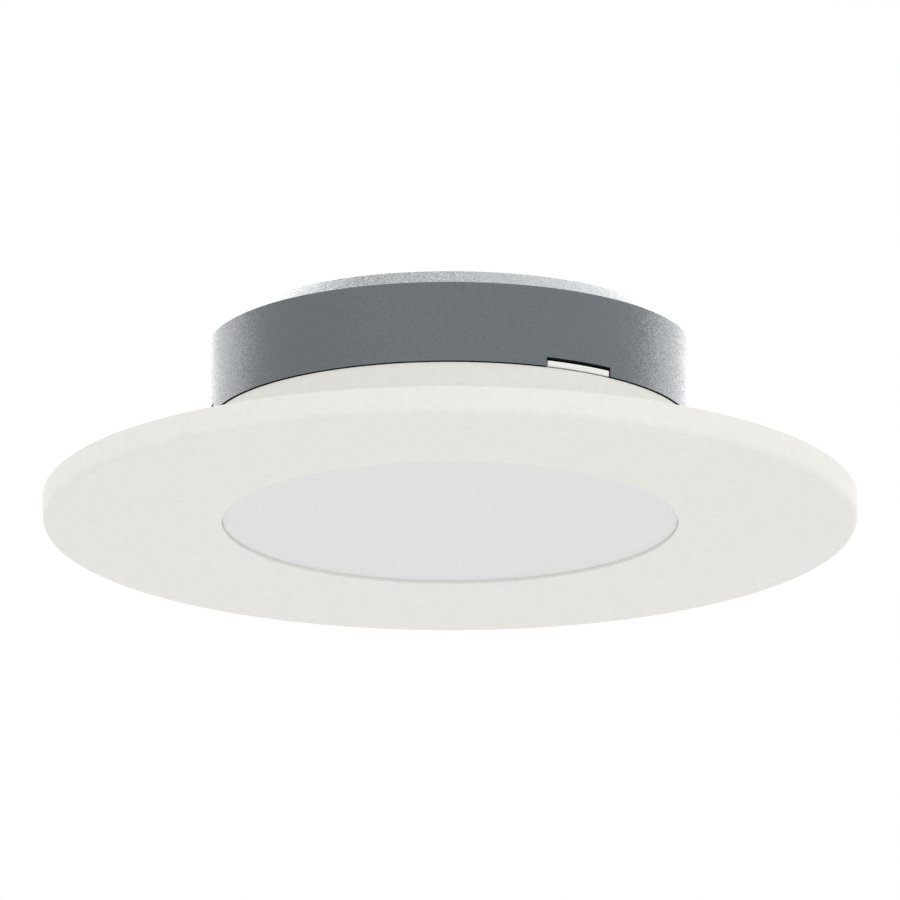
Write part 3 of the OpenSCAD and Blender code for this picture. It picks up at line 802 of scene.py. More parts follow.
def board_screw_places(s):
    """Where the driver board's screws and their posts stand."""
    return around(4, TURN / 8, board_radius(s) - BOARD_SCREW_INSET)


def plate_screw_places(s):
    """Where the lamp plate's screws stand in the heat rib."""
    return around(4, TURN / 8, s.rib_out_r - s.rib_w / 2)


def clip_places(s, distance=0.0):
    """Where the spring clips stand, each between two lugs."""
    return around(3, s.lug_angle + math.radians(60), distance)


def lamp_places():
    """Where each lamp stands on its plate; the outer ring leaves the mounting screws free."""
    inner, middle, outer = LAMP_RINGS
    places = around(6, math.radians(30), inner) + around(10, math.radians(18), middle)
    first, step = 35, 22
    return places + [spin(math.radians(side + first + step * k)) @ shift(outer)
                     for side in (0, 180) for k in range(6)]


# Pieces

class PUCK_OT_housing(Operator):
    """Builds the metal housing with its bevel, notches, bosses and heat rib"""
    bl_idname = "puck.housing"
    bl_label = "Housing"

    def execute(self, context):
        s, colours = context.scene.puck_sizes, context.scene.puck_colours
        in_r, rib_in_r = s.housing_r - s.wall, s.rib_out_r - s.rib_w
        inside_z, root_z = -s.back_t, -s.back_t + BURIED
        lead, edge, fillet = 0.4 * MM, 0.12 * MM, 0.7 * MM
        piece = solid("housing_shell", turned([
            (0, 0, 0), (s.housing_r - s.bevel_w, 0, s.crease_r), (s.housing_r, -s.bevel_h, s.crease_r),
            (s.housing_r, s.rim_z, 0.05 * MM), (in_r + lead, s.rim_z, 0.08 * MM),
            (in_r, s.rim_z + lead, 0.1 * MM), (in_r, inside_z, fillet), (s.rib_out_r, inside_z, fillet),
            (s.rib_out_r, s.rib_z, edge), (rib_in_r, s.rib_z, edge), (rib_in_r, inside_z, fillet),
            (0, inside_z, 0),
        ]), metal_paint(colours))
        sides, posts = pair(s.screw_x), board_screw_places(s)
        boss_r, post_r, post_z = s.screw_head_r + s.boss_wall, 2 * MM, -5.7 * MM
        boss = turned([(0, s.rib_z, 0), (boss_r, s.rib_z, edge), (boss_r, inside_z, 0.3 * MM),
                       (boss_r + 0.5 * MM, root_z, 0), (0, root_z, 0)], SMALL_STEPS * 2)
        post = turned([(0, post_z, 0), (post_r, post_z, 0.1 * MM), (post_r + 0.15 * MM, root_z, 0),
                       (0, root_z, 0)], SMALL_STEPS)
        carve(piece, copies(boss, sides) + copies(post, posts), operation="UNION")
        ease = 0.25 * MM
        screw_hole = lathe([
            (0, CUT), (s.screw_hole_r + CUT, CUT), (s.screw_hole_r + ease, 0), (s.screw_hole_r, -ease),
            (s.screw_hole_r, inside_z), (s.screw_head_r, inside_z), (s.screw_head_r, s.rib_z + ease),
            (s.screw_head_r + ease + CUT, s.rib_z - CUT), (0, s.rib_z - CUT),
        ], SMALL_STEPS * 2)
        throat = lathe([
            (0, CUT), (SEAT_R + ease + CUT, CUT), (SEAT_R, -ease), (SEAT_R, SEAT_Z),
            (THROAT_R, SEAT_Z), (THROAT_R, inside_z - CUT), (0, inside_z - CUT),
        ], SMALL_STEPS * 2)
        ejector_depth, ejector_at = 0.06 * MM, 14.5 * MM
        ejector = bore(1.8 * MM, -ejector_depth, CUT)
        board_pilot_l, plate_pilot_l = 2.6 * MM, 4.5 * MM
        board_pilot = bore(0.8 * MM, post_z - CUT, post_z + board_pilot_l)
        plate_pilot = bore(1 * MM, s.rib_z - CUT, s.rib_z + plate_pilot_l)
        notch = block((s.wall + 2 * CUT, s.notch_w, s.notch_h + CUT), s.rim_z - CUT, 0)
        carve(piece, copies(screw_hole, sides) + copies(throat, [shift()])
              + copies(ejector, around(4, TURN / 8, ejector_at)) + copies(board_pilot, posts)
              + copies(plate_pilot, plate_screw_places(s))
              + copies(notch, around(s.lug_count, s.lug_angle, in_r + s.wall / 2)))
        # Inside faces, notch walls and the rim's lower face get the near-black painted shade; outward faces
        # and the back keep the metal paint
        piece.data.materials.append(painted_inside_shade_material(colours))
        skin_r, skin_z = s.housing_r - 0.3 * MM, -s.bevel_h - 0.2 * MM
        for face in piece.data.polygons:
            reach = face.center.xy
            outside = reach.length > skin_r and face.normal.xy.dot(reach.normalized()) > 0.5
            face.material_index = 0 if outside or face.center.z > skin_z else 1
        place_piece(piece, "housing", "painted_metal", "housing")
        return {"FINISHED"}


class PUCK_OT_trim(Operator):
    """Builds the white trim: flange, collar, sleeve, ribs and lugs"""
    bl_idname = "puck.trim"
    bl_label = "Trim"

    def execute(self, context):
        s, colours = context.scene.puck_sizes, context.scene.puck_colours
        top_z = s.underside_z + s.flange_t
        groove_z = top_z - 1.2 * MM
        pocket_r, ring_r, ring_half = s.lens_r + s.lens_gap, 28.85 * MM, 0.7 * MM
        ring_z = sum(span("o_ring")) / 2
        lead, sharp, fine, soft = 0.4 * MM, 0.05 * MM, 0.08 * MM, 0.1 * MM
        piece = solid("trim_body", turned([
            (pocket_r, s.underside_z, sharp), (s.flange_r, s.underside_z, s.flange_edge_r),
            (s.flange_r, top_z, 0.12 * MM), (s.groove_out_r, top_z, fine), (s.groove_out_r, groove_z, fine),
            (s.groove_in_r, groove_z, fine), (s.groove_in_r, top_z, fine), (s.core_out_r, top_z, fine),
            (s.core_out_r, s.core_z, 0.5 * MM), (s.core_in_r, s.core_z, 0.5 * MM),
            (s.core_in_r, top_z, fine), (s.collar_r, top_z, 0.3 * MM),
            (s.collar_r, s.collar_top_z, 0.06 * MM), (s.sleeve_r, s.collar_top_z, soft),
            (s.sleeve_r, ring_z - ring_half, 0.06 * MM), (ring_r, ring_z - ring_half, soft),
            (ring_r, ring_z + ring_half, soft), (s.sleeve_r, ring_z + ring_half, 0.06 * MM),
            (s.sleeve_r, s.sleeve_top_z - lead, sharp), (s.sleeve_r - lead, s.sleeve_top_z, sharp),
            (s.sleeve_in_r, s.sleeve_top_z, soft), (s.sleeve_in_r, s.shelf_z, soft),
            (s.ledge_in_r, s.shelf_z, fine), (s.ledge_in_r, s.ledge_z, fine), (pocket_r, s.ledge_z, soft),
        ]), white_plastic(colours), lug_plastic_painted_lighter(colours))
        rib_l = s.core_out_r - s.core_in_r + 2 * BURIED
        rib_top_z = top_z - 0.02 * MM
        rib = block((rib_l, s.rib_t, rib_top_z - s.core_z + BURIED), s.core_z - BURIED, 0)
        half_w, inner_r, lug_r = s.notch_w / 2 - 0.2 * MM, s.sleeve_r - 0.9 * MM, s.collar_r + 0.15 * MM
        reach = math.asin(half_w / lug_r)
        arc = [polar(lug_r, reach * (-1 + k / 12)) for k in range(25)]
        lug_z, lug_top_z = s.collar_top_z + 0.14 * MM, s.rim_z + s.notch_h - 0.46 * MM
        lug = extrude(arc + [(inner_r, half_w), (inner_r, -half_w)], lug_z, lug_top_z)
        soften(lug, 0.07 * MM)
        # The lugs take the second slot, the lighter painted-light copy of the white plastic
        carve(piece, copies(rib, around(s.rib_count, 0, (s.core_in_r + s.core_out_r) / 2)),
              copies(lug, around(s.lug_count, s.lug_angle), 1), operation="UNION")
        pocket_l, pocket_depth = 2 * MM, 2.9 * MM
        pocket_size = (pocket_l, s.clip_w + 0.4 * MM, pocket_depth + CUT)
        pocket = block(pocket_size, s.sleeve_top_z - pocket_depth, 0)
        carve(piece, copies(pocket, clip_places(s, inner_r + pocket_l / 2)))
        place_piece(piece, "trim", "white_plastic", "trim_ring")
        return {"FINISHED"}


class PUCK_OT_lens(Operator):
    """Builds the frosted lens, the seal behind it and the reflector"""
    bl_idname = "puck.lens"
    bl_label = "Lens and reflector"

    def execute(self, context):
        s, colours = context.scene.puck_sizes, context.scene.puck_colours
        face_z, back_z = span("lens")
        lens_r = s.lens_r + 0.4 * s.lens_gap
        disc = turned([(0, face_z, 0), (lens_r * 0.5, face_z, 0), (lens_r, face_z, 0.08 * MM),
                       (lens_r, back_z, 0.1 * MM), (0, back_z, 0)])
        place_piece(solid("lens_disc", disc, frosted_plastic(colours)), "trim", "lens_plastic", "lens")
        seal = hoop(s.ledge_in_r + 0.2 * MM, high("lens_gasket").x, *span("lens_gasket"), 0.12 * MM)
        place_piece(solid("lens_seal", seal, rubber(colours)), "trim", "black_rubber", "lens_gasket")
        wall = 0.8 * MM
        foot_r, foot_in_r, foot_top_z = s.sleeve_in_r - 0.15 * MM, s.ledge_in_r - 0.4 * MM, s.shelf_z + wall
        mouth_r, mouth_z = 22.6 * MM, high("reflector").z
        cone = turned([(foot_in_r, s.shelf_z, 0.15 * MM), (foot_r, s.shelf_z, 0.1 * MM),
                       (foot_r, foot_top_z, 0.2 * MM), (foot_in_r + wall, foot_top_z, 0.3 * MM),
                       (mouth_r + wall, mouth_z, 0.3 * MM), (mouth_r, mouth_z, 0.25 * MM)])
        place_piece(solid("reflector_cone", cone, bright_plastic(colours)), "trim", "white_plastic",
                    "reflector")
        return {"FINISHED"}


class PUCK_OT_seals(Operator):
    """Builds the rubber grommet, the sealing ring and the foam gasket"""
    bl_idname = "puck.seals"
    bl_label = "Seals"

    def execute(self, context):
        s, colours = context.scene.puck_sizes, context.scene.puck_colours
        black = rubber(colours)
        foot_z, face_z = span("cable_grommet")
        bush_r, lip_r, bore_r, neck_r = high("cable_grommet").x, 6.2 * MM, 2.5 * MM, THROAT_R - 0.1 * MM
        groove_z, fine, soft = face_z - 0.25 * MM, 0.1 * MM, 0.35 * MM
        bush = turned([
            (bore_r, face_z, soft), (3.6 * MM, face_z, fine), (3.9 * MM, groove_z, fine),
            (4.3 * MM, groove_z, fine), (4.6 * MM, face_z, fine), (bush_r, face_z, soft),
            (bush_r, SEAT_Z, fine), (neck_r, SEAT_Z, 0.05 * MM), (neck_r, -s.back_t, 0.05 * MM),
            (lip_r, -s.back_t, fine), (lip_r - 0.3 * MM, foot_z, 0.3 * MM), (bore_r, foot_z, soft),
        ], SMALL_STEPS * 2)
        place_piece(solid("cable_bush", bush, black), "housing", "black_rubber", "cable_grommet")

        ring_z, ring_top_z = span("o_ring")
        cord_r = (ring_top_z - ring_z) / 2
        mid_r, mid_z = high("o_ring").x - cord_r, ring_z + cord_r
        cord = [polar(cord_r, TURN * k / 24) for k in range(24)]
        ring = lathe([(mid_r + x, mid_z + z) for x, z in cord])
        place_piece(solid("sealing_ring", ring, black), "trim", "black_rubber", "o_ring")

        base_z, crown_z = span("soffit_gasket")
        in_r, out_r = s.groove_in_r + 0.15 * MM, high("soffit_gasket").x
        strip = turned([
            (in_r, base_z, 0.1 * MM), (out_r, base_z, 0.1 * MM), (out_r, crown_z, 0.4 * MM),
            (in_r + 1.8 * MM, crown_z, 0), (in_r, crown_z, 0.4 * MM),
        ], ROUND_STEPS * 2, 5)
        wave_scale, cell_scale, wave_depth = 400, 1500, 0.03 * MM
        joint, joint_half, joint_depth = math.radians(200), 0.004, 0.25 * MM
        for vert in strip.verts:
            angle = math.atan2(vert.co.y, vert.co.x) % TURN
            ripple = noise.noise(vert.co * wave_scale) + 0.6 * noise.noise(vert.co * cell_scale)
            lift = (vert.co.z - base_z) / (crown_z - base_z)
            parted = math.exp(-((angle - joint) / joint_half) ** 2)
            sink = wave_depth * (1 + ripple) + joint_depth * parted
            vert.co.z -= lift * max(0, sink)
        foam = solid("foam_ring", strip, foam_rubber(colours))
        place_piece(foam, "trim", "foam", "soffit_gasket")
        return {"FINISHED"}


class PUCK_OT_clips(Operator):
    """Builds the three spring clips that hold the trim in the housing"""
    bl_idname = "puck.clips"
    bl_label = "Spring clips"

    def execute(self, context):
        s = context.scene.puck_sizes
        strip_t, half_w, top_z = 0.3 * MM, s.clip_w / 2, s.sleeve_top_z
        in_x = math.sqrt(s.sleeve_in_r ** 2 - half_w ** 2) - 0.05 * MM
        out_x = math.sqrt((s.housing_r - s.wall - 0.15 * MM) ** 2 - half_w ** 2)
        foot_x = s.sleeve_r - 0.85 * MM
        hook_z, bow_z, foot_z = top_z - 2 * MM, top_z - 1.45 * MM, top_z - 2.7 * MM
        soft, fine, sharp = 0.25 * MM, 0.12 * MM, 0.05 * MM
        clip = extrude(rounded([
            (in_x - strip_t, hook_z, 0.1 * MM), (in_x, hook_z, 0.1 * MM), (in_x, top_z, fine),
            (foot_x, top_z, fine), (out_x - strip_t, bow_z, soft), (foot_x, foot_z, sharp),
            (foot_x + strip_t, foot_z, sharp), (out_x, bow_z, soft + strip_t),
            (foot_x + strip_t, top_z + strip_t, fine + strip_t),
            (in_x - strip_t, top_z + strip_t, fine + strip_t * 0.8),
        ]), -half_w, half_w)
        edges = [e for e in clip.edges if abs(e.verts[0].co.z - e.verts[1].co.z) < TINY]
        round_edges(clip, edges, 0.04 * MM)
        clips = solid("spring_clips", gather(copies(clip, [at @ UPRIGHT for at in clip_places(s)])),
                      plated_steel(context.scene.puck_colours))
        place_piece(clips, "trim", "zinc_steel", "friction_clips")
        return {"FINISHED"}


class PUCK_OT_lamps(Operator):
    """Builds the lamp plate, its lamps and its screws, and the pad behind it"""
    bl_idname = "puck.lamps"
    bl_label = "Lamp plate"

    def execute(self, context):
        s, colours = context.scene.puck_sizes, context.scene.puck_colours
        steel, lamps, screws, link = plated_steel(colours), lamp_places(), plate_screw_places(s), pair(*LINK)
        face_z, back_z = span("lamp_plate")
        z0, z1 = face_z - CUT, back_z + CUT
        screw_hole = bore(1.25 * MM, z0, z1)
        plate = solid("lamp_board", pin(high("lamp_plate").x, face_z, back_z, 0.08 * MM, ROUND_STEPS, 2),
                      lamp_lacquer(colours))
        carve(plate, copies(bore(4.2 * MM, z0, z1, SMALL_STEPS * 2), pair(s.screw_x))
              + copies(screw_hole, screws) + copies(bore(0.4 * MM, z0, z1), link))
        place_piece(plate, "housing", "aluminium_plate", "lamp_plate")

        lamp_z, cup_z = face_z - 0.7 * MM, face_z - 0.45 * MM
        cup = lathe([(0, cup_z), (0.95 * MM, cup_z), (1.22 * MM, lamp_z - CUT), (0, lamp_z - CUT)],
                    SMALL_STEPS)
        lamp = solid("lamp", block((3.5 * MM, 2.8 * MM, 0.7 * MM), lamp_z))
        fit("lamp_bodies", copies(taken(carve(lamp, copies(cup, [shift()]))), lamps),
            [bright_plastic(colours)], "white_plastic", "lamp_packages")
        filling = turned([(0, face_z - 0.4 * MM, 0), (0.93 * MM, face_z - 0.4 * MM, 0),
                          (1.19 * MM, face_z - 0.68 * MM, 0), (0.9 * MM, face_z - 0.76 * MM, 0.3 * MM),
                          (0, face_z - 0.8 * MM, 0)], SMALL_STEPS)
        fit("lamp_fillings", copies(filling, lamps), [phosphor_silicone(colours)], "phosphor",
            "lamp_phosphors")
        tab_t = 0.16 * MM
        tab = block((0.5 * MM, 2.2 * MM, tab_t), face_z - tab_t, 0.04 * MM)
        ends = [at @ end for at in lamps for end in pair(1.85 * MM)]
        fit("lamp_tabs", copies(tab, ends), [steel], "zinc_steel")

        screw = screw_form(0.95 * MM, 1.5 * MM, 1.1 * MM, 5.9 * MM)
        fit("plate_screws", copies(screw, [shift(z=face_z) @ at for at in screws]), [steel], "zinc_steel",
            "lamp_plate_screws")
        ring = hoop(s.rib_out_r - s.rib_w, s.rib_out_r, *span("thermal_pad"), 0.06 * MM, 2)
        pad = carve(solid("thermal_sheet", ring, thermal_silicone(colours)), copies(screw_hole, screws))
        place_piece(pad, "housing", "thermal_silicone", "thermal_pad")
        solder = turned([(0, face_z - 0.45 * MM, 0), (0.42 * MM, face_z - 0.42 * MM, 0.1 * MM),
                         (0.9 * MM, face_z - 0.03 * MM, 0.2 * MM), (0.95 * MM, face_z, 0), (0, face_z, 0)],
                        SMALL_STEPS)
        fit("pin_solder", copies(solder, link), [steel], "zinc_steel")
        return {"FINISHED"}


def build_board(s, colours, z):
    """The driver board with its holes, and its four screws."""
    top_z, screws = high("driver_board").z, board_screw_places(s)
    z0, z1 = z - CUT, top_z + CUT
    board = solid("driver_plate", pin(board_radius(s), z, top_z, 0.06 * MM, ROUND_STEPS, 2),
                  board_lacquer(colours))
    gap_r = s.screw_head_r + s.boss_wall + 0.4 * MM
    arc = [(-y, x) for x, y in (polar(gap_r, math.pi * k / 32) for k in range(33))]
    gap = arc + [(2.2 * gap_r, -gap_r), (2.2 * gap_r, gap_r)]
    gaps = [(extrude([(side * x, y) for x, y in gap], z0, z1), shift(side * s.screw_x), 0)
            for side in (-1, 1)]
    carve(board, gaps + copies(bore(4 * MM, z0, z1, SMALL_STEPS * 2), [shift()])
          + copies(bore(1.05 * MM, z0, z1), screws))
    place_piece(board, "housing", "circuit_board", "driver_board")
    screw = screw_form(0.75 * MM, 1.6 * MM, 1 * MM, 3.4 * MM)
    fit("board_screws", copies(screw, [shift(z=z) @ at for at in screws]), [plated_steel(colours)],
        "zinc_steel", "driver_board_screws")


def build_terminals(colours, z):
    """The terminal block with its screws and wire cages."""
    wide, deep, tall, at_y, pitch = 12 * MM, 6.4 * MM, 3.2 * MM, 12 * MM, 3.8 * MM
    ways, foot_z, entry_z = [-pitch, 0, pitch], z - tall, z - tall + 1.3 * MM
    entry_w, entry_l, entry_h = 2.4 * MM, 5.4 * MM, 1.6 * MM
    body = block((wide, deep, tall), foot_z, 0.15 * MM)
    term = solid("terminal_body", gather(copies(body, [shift(y=at_y)])), terminal_plastic(colours))
    well = bore(1.35 * MM, foot_z - CUT, entry_z + 0.5 * MM)
    entry = block((entry_w, entry_l + CUT, entry_h), entry_z, 0.1 * MM)
    gate = block((0.5 * MM, deep + 2 * CUT, 0.35 * MM + CUT), foot_z - CUT, 0)
    wells = [shift(x, at_y) for x in ways]
    entries = [at @ shift(y=(entry_l - deep - CUT) / 2) for at in wells]
    carve(term, copies(well, wells), copies(entry, entries), copies(gate, pair(pitch / 2, at_y)))
    place_piece(term, "housing", "terminal_plastic", "terminal_block")

    head_z, slot_w = low("terminal_screws").z, 0.5 * MM
    slot = block((2.4 * MM, slot_w, slot_w + CUT), head_z - CUT, 0)
    drive = carve(solid("drive", pin(1.15 * MM, head_z, entry_z, 0.1 * MM)), copies(slot, [shift()]))
    fit("terminal_drives", copies(taken(drive), wells), [plated_steel(colours)], "zinc_steel",
        "terminal_screws")
    cage_low, cage_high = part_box("terminal_cages")
    cage_w, cage_l, cage_h = entry_w - 0.1 * MM, cage_high.y - cage_low.y, cage_high.z - cage_low.z
    cage_t, cage_y = 0.3 * MM, (cage_low.y + cage_high.y) / 2
    cage = solid("cage", block((cage_w, cage_l, cage_h), cage_low.z, 0.12 * MM))
    hole = block((cage_w - 2 * cage_t, cage_l + 2 * CUT, cage_h - 2 * cage_t), cage_low.z + cage_t, 0.1 * MM)
    cage = taken(carve(cage, copies(hole, [shift()])))
    fit("wire_cages", copies(cage, [shift(x, cage_y) for x in ways]), [brass_metal(colours)], "brass",
        "terminal_cages")


def build_fuse(colours, z):
    """The fuse: a white barrel with a cap at each end."""
    fuse_r, half_l, cap_l = 1.2 * MM, 3.5 * MM, 1.4 * MM
    along = shift(-11.6 * MM, 8 * MM, z - fuse_r) @ LYING
    barrel = pin(fuse_r - 0.2 * MM, 0.3 * MM - half_l, half_l - 0.3 * MM)
    cap = turned([(0, -cap_l / 2, 0), (fuse_r, -cap_l / 2, 0.2 * MM), (fuse_r, cap_l / 2, 0.06 * MM),
                  (0, cap_l / 2, 0)], SMALL_STEPS)
    ends = [along @ Matrix.Rotation(angle, 4, "X") @ shift(z=cap_l / 2 - half_l) for angle in (0, math.pi)]
    fit("fuse_link", copies(barrel, [along]) + copies(cap, ends, 1),
        [bright_plastic(colours), plated_steel(colours)], "zinc_steel", "fuse")


def build_rectifier(colours, z, corner):
    """The bridge rectifier on its four legs."""
    at = shift(corner - 3 * MM, corner - 5 * MM)
    body = block((4.4 * MM, 4.2 * MM, 1.4 * MM), z - 1.5 * MM, 0.15 * MM)
    leg = block((1 * MM, 0.9 * MM, 0.25 * MM), z - 0.25 * MM, 0.05 * MM)
    legs = [at @ shift(x * 2 * MM, y * 1.25 * MM) for x in (-1, 1) for y in (-1, 1)]
    fit("bridge_rectifier", copies(body, [at]) + copies(leg, legs, 1),
        [moulded_epoxy(colours), plated_steel(colours)], "black_epoxy", "rectifier")


def build_chip(colours, z):
    """The driver chip with a dot at its first leg, and its eight legs."""
    at_y, wide, deep, foot_z = -8.6 * MM, 4 * MM, 5 * MM, z - 1.5 * MM
    body = block((wide, deep, 1.4 * MM), foot_z, 0.18 * MM)
    dot = bore(0.35 * MM, foot_z - CUT, foot_z + 0.08 * MM)
    chip = solid("control_chip", gather(copies(body, [shift(y=at_y)])), moulded_epoxy(colours))
    carve(chip, copies(dot, [shift(-1.2 * MM, at_y + 1.8 * MM)]))
    place_piece(chip, "housing", "black_epoxy", "driver_chip")
    knee, leg_t, half_w, pitch = 0.8 * MM, 0.2 * MM, 0.2 * MM, 1.27 * MM
    bent = rounded([(0, -knee, 0), (0.65 * MM, -knee, 0.15 * MM), (0.8 * MM, -leg_t, 0.1 * MM),
                    (1 * MM, -leg_t, 0), (1 * MM, 0, 0), (0.62 * MM, 0, 0.2 * MM),
                    (0.45 * MM, leg_t - knee, 0.1 * MM), (0, leg_t - knee, 0)])
    legs = [shift(side * (wide / 2 - 0.02 * MM), at_y + k * pitch, z) @ spin(turn) @ UPRIGHT
            for side, turn in ((-1, math.pi), (1, 0)) for k in (-1.5, -0.5, 0.5, 1.5)]
    fit("chip_legs", copies(extrude(bent, -half_w, half_w), legs), [plated_steel(colours)], "zinc_steel",
        "chip_leads")


def build_coil(colours, z, corner):
    """The inductor: a ferrite spool, and layers of copper wire that run up and down it."""
    at = shift(4.3 * MM - corner, 4 * MM - corner, z)
    core_r, core_h, lip, neck, fine = 3.4 * MM, 3 * MM, 0.6 * MM, 1.6 * MM, 0.1 * MM
    core = turned([(0, -core_h, 0), (core_r, -core_h, 0.15 * MM), (core_r, lip - core_h, fine),
                   (neck, lip - core_h, 0), (neck, -lip, 0), (core_r, -lip, fine), (core_r, 0, fine),
                   (0, 0, 0)], SMALL_STEPS * 2)
    fit("coil_core", copies(core, [at]), [sintered_ferrite(colours)], "ferrite", "inductor_core")
    wire_r, layer_gap, layers, turns, per_turn = 0.15 * MM, 0.272 * MM, 5, 6, 24
    top, bottom = -lip - wire_r, lip + wire_r - core_h
    points, path = turns * per_turn, []
    for layer in range(layers):
        start, end = (bottom, top) if layer % 2 else (top, bottom)
        for k in range(points):
            xy = polar(neck + wire_r + layer * layer_gap, TURN * (layer * turns + k / per_turn))
            path.append(Vector((*xy, start + (end - start) * k / (points - 1))))
    fit("coil_wire", copies(tube(path, wire_r, 7), [at]), [enamelled_copper(colours)], "copper_wire",
        "inductor_winding")


def build_capacitors(colours, z, corner):
    """Two lying capacitors, each a sleeved can with a bare end."""
    can_r, half_l = 1.6 * MM, 3.2 * MM
    bare_r, end_z = can_r * 0.72, half_l - 0.3 * MM
    can = turned([(0, -half_l, 0), (can_r * 0.8, -half_l, 0.05 * MM), (can_r, 0.15 * MM - half_l, 0.2 * MM),
                  (can_r, half_l - 1 * MM, 0.2 * MM), (can_r - 0.18 * MM, half_l - 0.75 * MM, 0.1 * MM),
                  (can_r, half_l - 0.5 * MM, 0.15 * MM), (can_r, half_l, 0.2 * MM), (0, half_l, 0)],
                 SMALL_STEPS)
    end = turned([(0, half_l, 0), (bare_r, half_l, 0.05 * MM), (can_r * 0.7, end_z, 0), (0, end_z, 0)],
                 SMALL_STEPS, 2)
    parts = []
    for y in (5.6 * MM, 1.9 * MM):
        lying = shift(corner - 4.8 * MM, y - corner, z - can_r) @ LYING
        parts += [(can, lying, 0), (end, lying, 1)]
    fit("capacitor_cans", parts, [moulded_epoxy(colours), plated_steel(colours)], "zinc_steel", "capacitors")


def build_resistors(colours, z):
    """Six chip resistors in two rows, each with a plated cap at its ends."""
    body = block((2.5 * MM, 1.52 * MM, 0.52 * MM), z - 0.56 * MM, 0.05 * MM)
    cap = block((0.5 * MM, 1.6 * MM, 0.6 * MM), z - 0.6 * MM, 0.06 * MM)
    row_x, pitch, cap_x = 9.2 * MM, 3 * MM, 1.35 * MM
    parts = []
    for at in (shift(side * row_x, k * pitch) for side in (-1, 1) for k in (-1, 0, 1)):
        parts += copies(body, [at]) + copies(cap, [at @ end for end in pair(cap_x)], 1)
    fit("chip_resistors", parts, [moulded_epoxy(colours), plated_steel(colours)], "black_epoxy",
        "resistors")


def build_link(colours, z):
    """The socket and the two pins of the plug link to the lamp plate."""
    tall, pin_r = 3 * MM, 0.35 * MM
    foot_z, top_z, bore_r = z - tall, z - 0.5 * MM, pin_r + 0.05 * MM
    body = block((6 * MM, 3 * MM, tall), foot_z, 0.12 * MM)
    funnel = lathe([(0, top_z), (bore_r, top_z), (bore_r, foot_z + 0.3 * MM),
                    (bore_r + 0.3 * MM + CUT, foot_z - CUT), (0, foot_z - CUT)], SMALL_STEPS)
    socket = solid("pin_socket", gather(copies(body, [shift(y=LINK[1])])), moulded_epoxy(colours))
    carve(socket, copies(funnel, pair(*LINK)))
    place_piece(socket, "housing", "black_epoxy", "link_socket")
    contact = pin(pin_r, *span("link_pins"), 0.12 * MM)
    fit("contact_pins", copies(contact, pair(*LINK)), [brass_metal(colours)], "brass", "link_pins")


class PUCK_OT_driver(Operator):
    """Builds the driver board with its screws, terminals and components"""
    bl_idname = "puck.driver"
    bl_label = "Driver"

    def execute(self, context):
        s, colours = context.scene.puck_sizes, context.scene.puck_colours
        z = low("driver_board").z
        corner = (board_radius(s) - BOARD_SCREW_INSET) * math.cos(TURN / 8)
        build_board(s, colours, z)
        build_terminals(colours, z)
        build_fuse(colours, z)
        build_rectifier(colours, z, corner)
        build_chip(colours, z)
        build_coil(colours, z, corner)
        build_capacitors(colours, z, corner)
        build_resistors(colours, z)
        build_link(colours, z)
        return {"FINISHED"}


# Floor, light and camera

# Each panel's name, place, size and level
PANELS = (
    ("back left panel", (-0.85, 1.36, 0.44), (2.0, 1.3), 1.08),
    ("back right panel", (0.883, 1.334, 0.44), (2.12, 1.3), 1.4),
    ("back middle panel", (0.1, 1.6, 0.50), (1.8, 1.3), 0.95),
    ("upper left panel", (-0.55, 1.12, 1.17), (1.25, 0.68), 2.35),
    ("overhead panel", (0.53, 0.82, 1.53), (1.65, 1.4), 1.80),
)


def sheet(name, half, material):
    """A flat square sheet."""
    bm = bmesh.new()
    bmesh.ops.create_grid(bm, x_segments=1, y_segments=1, size=half)
    return solid(name, bm, material)


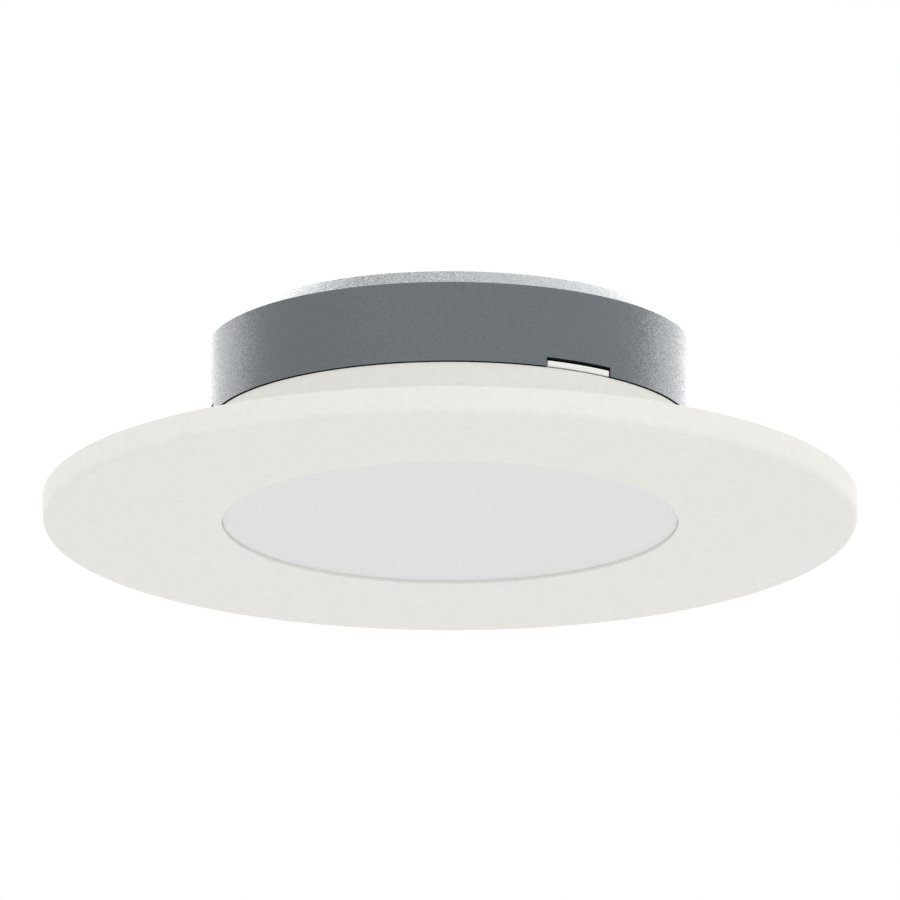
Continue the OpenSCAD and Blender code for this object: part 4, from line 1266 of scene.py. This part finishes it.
class PUCK_OT_stage(Operator):
    """Builds the floor, the light and the camera"""
    bl_idname = "puck.stage"
    bl_label = "Floor, light and camera"

    def execute(self, context):
        scene = context.scene
        pale, tree, shader = new_material("Pale floor")
        grain = use(tree, "Fine grain", Size=4 * MM)
        give(tree, shader, {
            "Base Color": mix_colour(tree, grain["Tone"], (0.89, 0.89, 0.89, 1), (0.91, 0.91, 0.91, 1)),
            "Roughness": 0.9, "Specular IOR Level": 0.0,
        })
        floor_half, floor_z = 3.0, -0.5
        floor = sheet("floor", floor_half, pale)
        floor.location.z = floor_z

        scene.world = bpy.data.worlds.new("Plain white room")
        scene.world.use_nodes = True
        tree = scene.world.node_tree
        tree.nodes.clear()
        white, light_level, backdrop_level = (1, 1, 1, 1), 1.115, 1.0
        path = add_node(tree, "ShaderNodeLightPath").outputs
        seen = math_node(tree, "MAXIMUM", path["Is Camera Ray"], path["Is Glossy Ray"])
        seen = math_node(tree, "MAXIMUM", seen, path["Is Transmission Ray"])
        lighting, backdrop = (
            add_node(tree, "ShaderNodeBackground", {"Color": white, "Strength": level}).outputs[0]
            for level in (light_level, backdrop_level))
        mixed = add_node(tree, "ShaderNodeMixShader", {0: seen, 1: lighting, 2: backdrop}).outputs[0]
        add_node(tree, "ShaderNodeOutputWorld", {"Surface": mixed})

        aim = Vector((0, 0, low("trim_ring").z / 2))
        for name, at, size, level in PANELS:
            lamp = bpy.data.lights.new(name, "AREA")
            lamp.shape = "RECTANGLE"
            lamp.size, lamp.size_y = size
            lamp.energy = level * math.pi * size[0] * size[1]
            panel = bpy.data.objects.new(name, lamp)
            scene.collection.objects.link(panel)
            panel.location = at
            panel.rotation_euler = (aim - panel.location).to_track_quat("-Z", "Y").to_euler()
            panel.visible_camera = False
            panel.visible_diffuse = False

        grey, tree, shader = new_material("Grey card")
        give(tree, shader, {"Base Color": (0, 0, 0, 1), "Specular IOR Level": 0.0, "Emission Color": white,
                            "Emission Strength": 0.86})
        flag = sheet("grey_card", 1.0, grey)
        flag.location = (-1.6, -0.6, 0.1)
        flag.rotation_euler = (0, TURN / 4, 0)
        flag.scale = (0.62, 1.0, 1.0)
        flag.visible_camera = False
        flag.visible_shadow = False

        elevation, aside, above, distance = math.radians(15.53), -0.013 * MM, 9.635 * MM, 0.5
        look = Vector((0, math.cos(elevation), math.sin(elevation)))
        upwards = Vector((0, -math.sin(elevation), math.cos(elevation)))
        target = Vector((aside, 0, low("trim_ring").z)) + above * upwards
        view = bpy.data.cameras.new("view")
        view.type = "ORTHO"
        view.ortho_scale = 119.25 * MM
        view.clip_start, view.clip_end = 0.01, 20
        camera = bpy.data.objects.new("view", view)
        scene.collection.objects.link(camera)
        camera.location = target - look * distance
        camera.rotation_euler = look.to_track_quat("-Z", "Y").to_euler()
        scene.camera = camera
        scene.view_settings.view_transform = "Standard"
        return {"FINISHED"}


STEPS = (PUCK_OT_housing, PUCK_OT_trim, PUCK_OT_lens, PUCK_OT_seals, PUCK_OT_clips, PUCK_OT_lamps,
         PUCK_OT_driver, PUCK_OT_stage)


class PUCK_PT_panel(Panel):
    """Lists the steps that build the light"""
    bl_idname = "PUCK_PT_panel"
    bl_label = "Puck light"
    bl_space_type = "VIEW_3D"
    bl_region_type = "UI"
    bl_category = "Puck light"

    def draw(self, context):
        for step in STEPS:
            self.layout.operator(step.bl_idname)
        for group in (context.scene.puck_sizes, context.scene.puck_colours):
            column = self.layout.column(align=True)
            for name in group.bl_rna.properties.keys():
                if name not in ("rna_type", "name"):
                    column.prop(group, name)


CLASSES = (PuckSizes, PuckColours, *STEPS, PUCK_PT_panel)


def register():
    for item in CLASSES:
        bpy.utils.register_class(item)
    bpy.types.Scene.puck_sizes = PointerProperty(type=PuckSizes)
    bpy.types.Scene.puck_colours = PointerProperty(type=PuckColours)


def unregister():
    del bpy.types.Scene.puck_colours
    del bpy.types.Scene.puck_sizes
    for item in reversed(CLASSES):
        bpy.utils.unregister_class(item)


def main():
    register()
    bpy.ops.puck.housing()
    bpy.ops.puck.trim()
    bpy.ops.puck.lens()
    bpy.ops.puck.seals()
    bpy.ops.puck.clips()
    bpy.ops.puck.lamps()
    bpy.ops.puck.driver()
    bpy.ops.puck.stage()


if __name__ == "__main__":
    main()
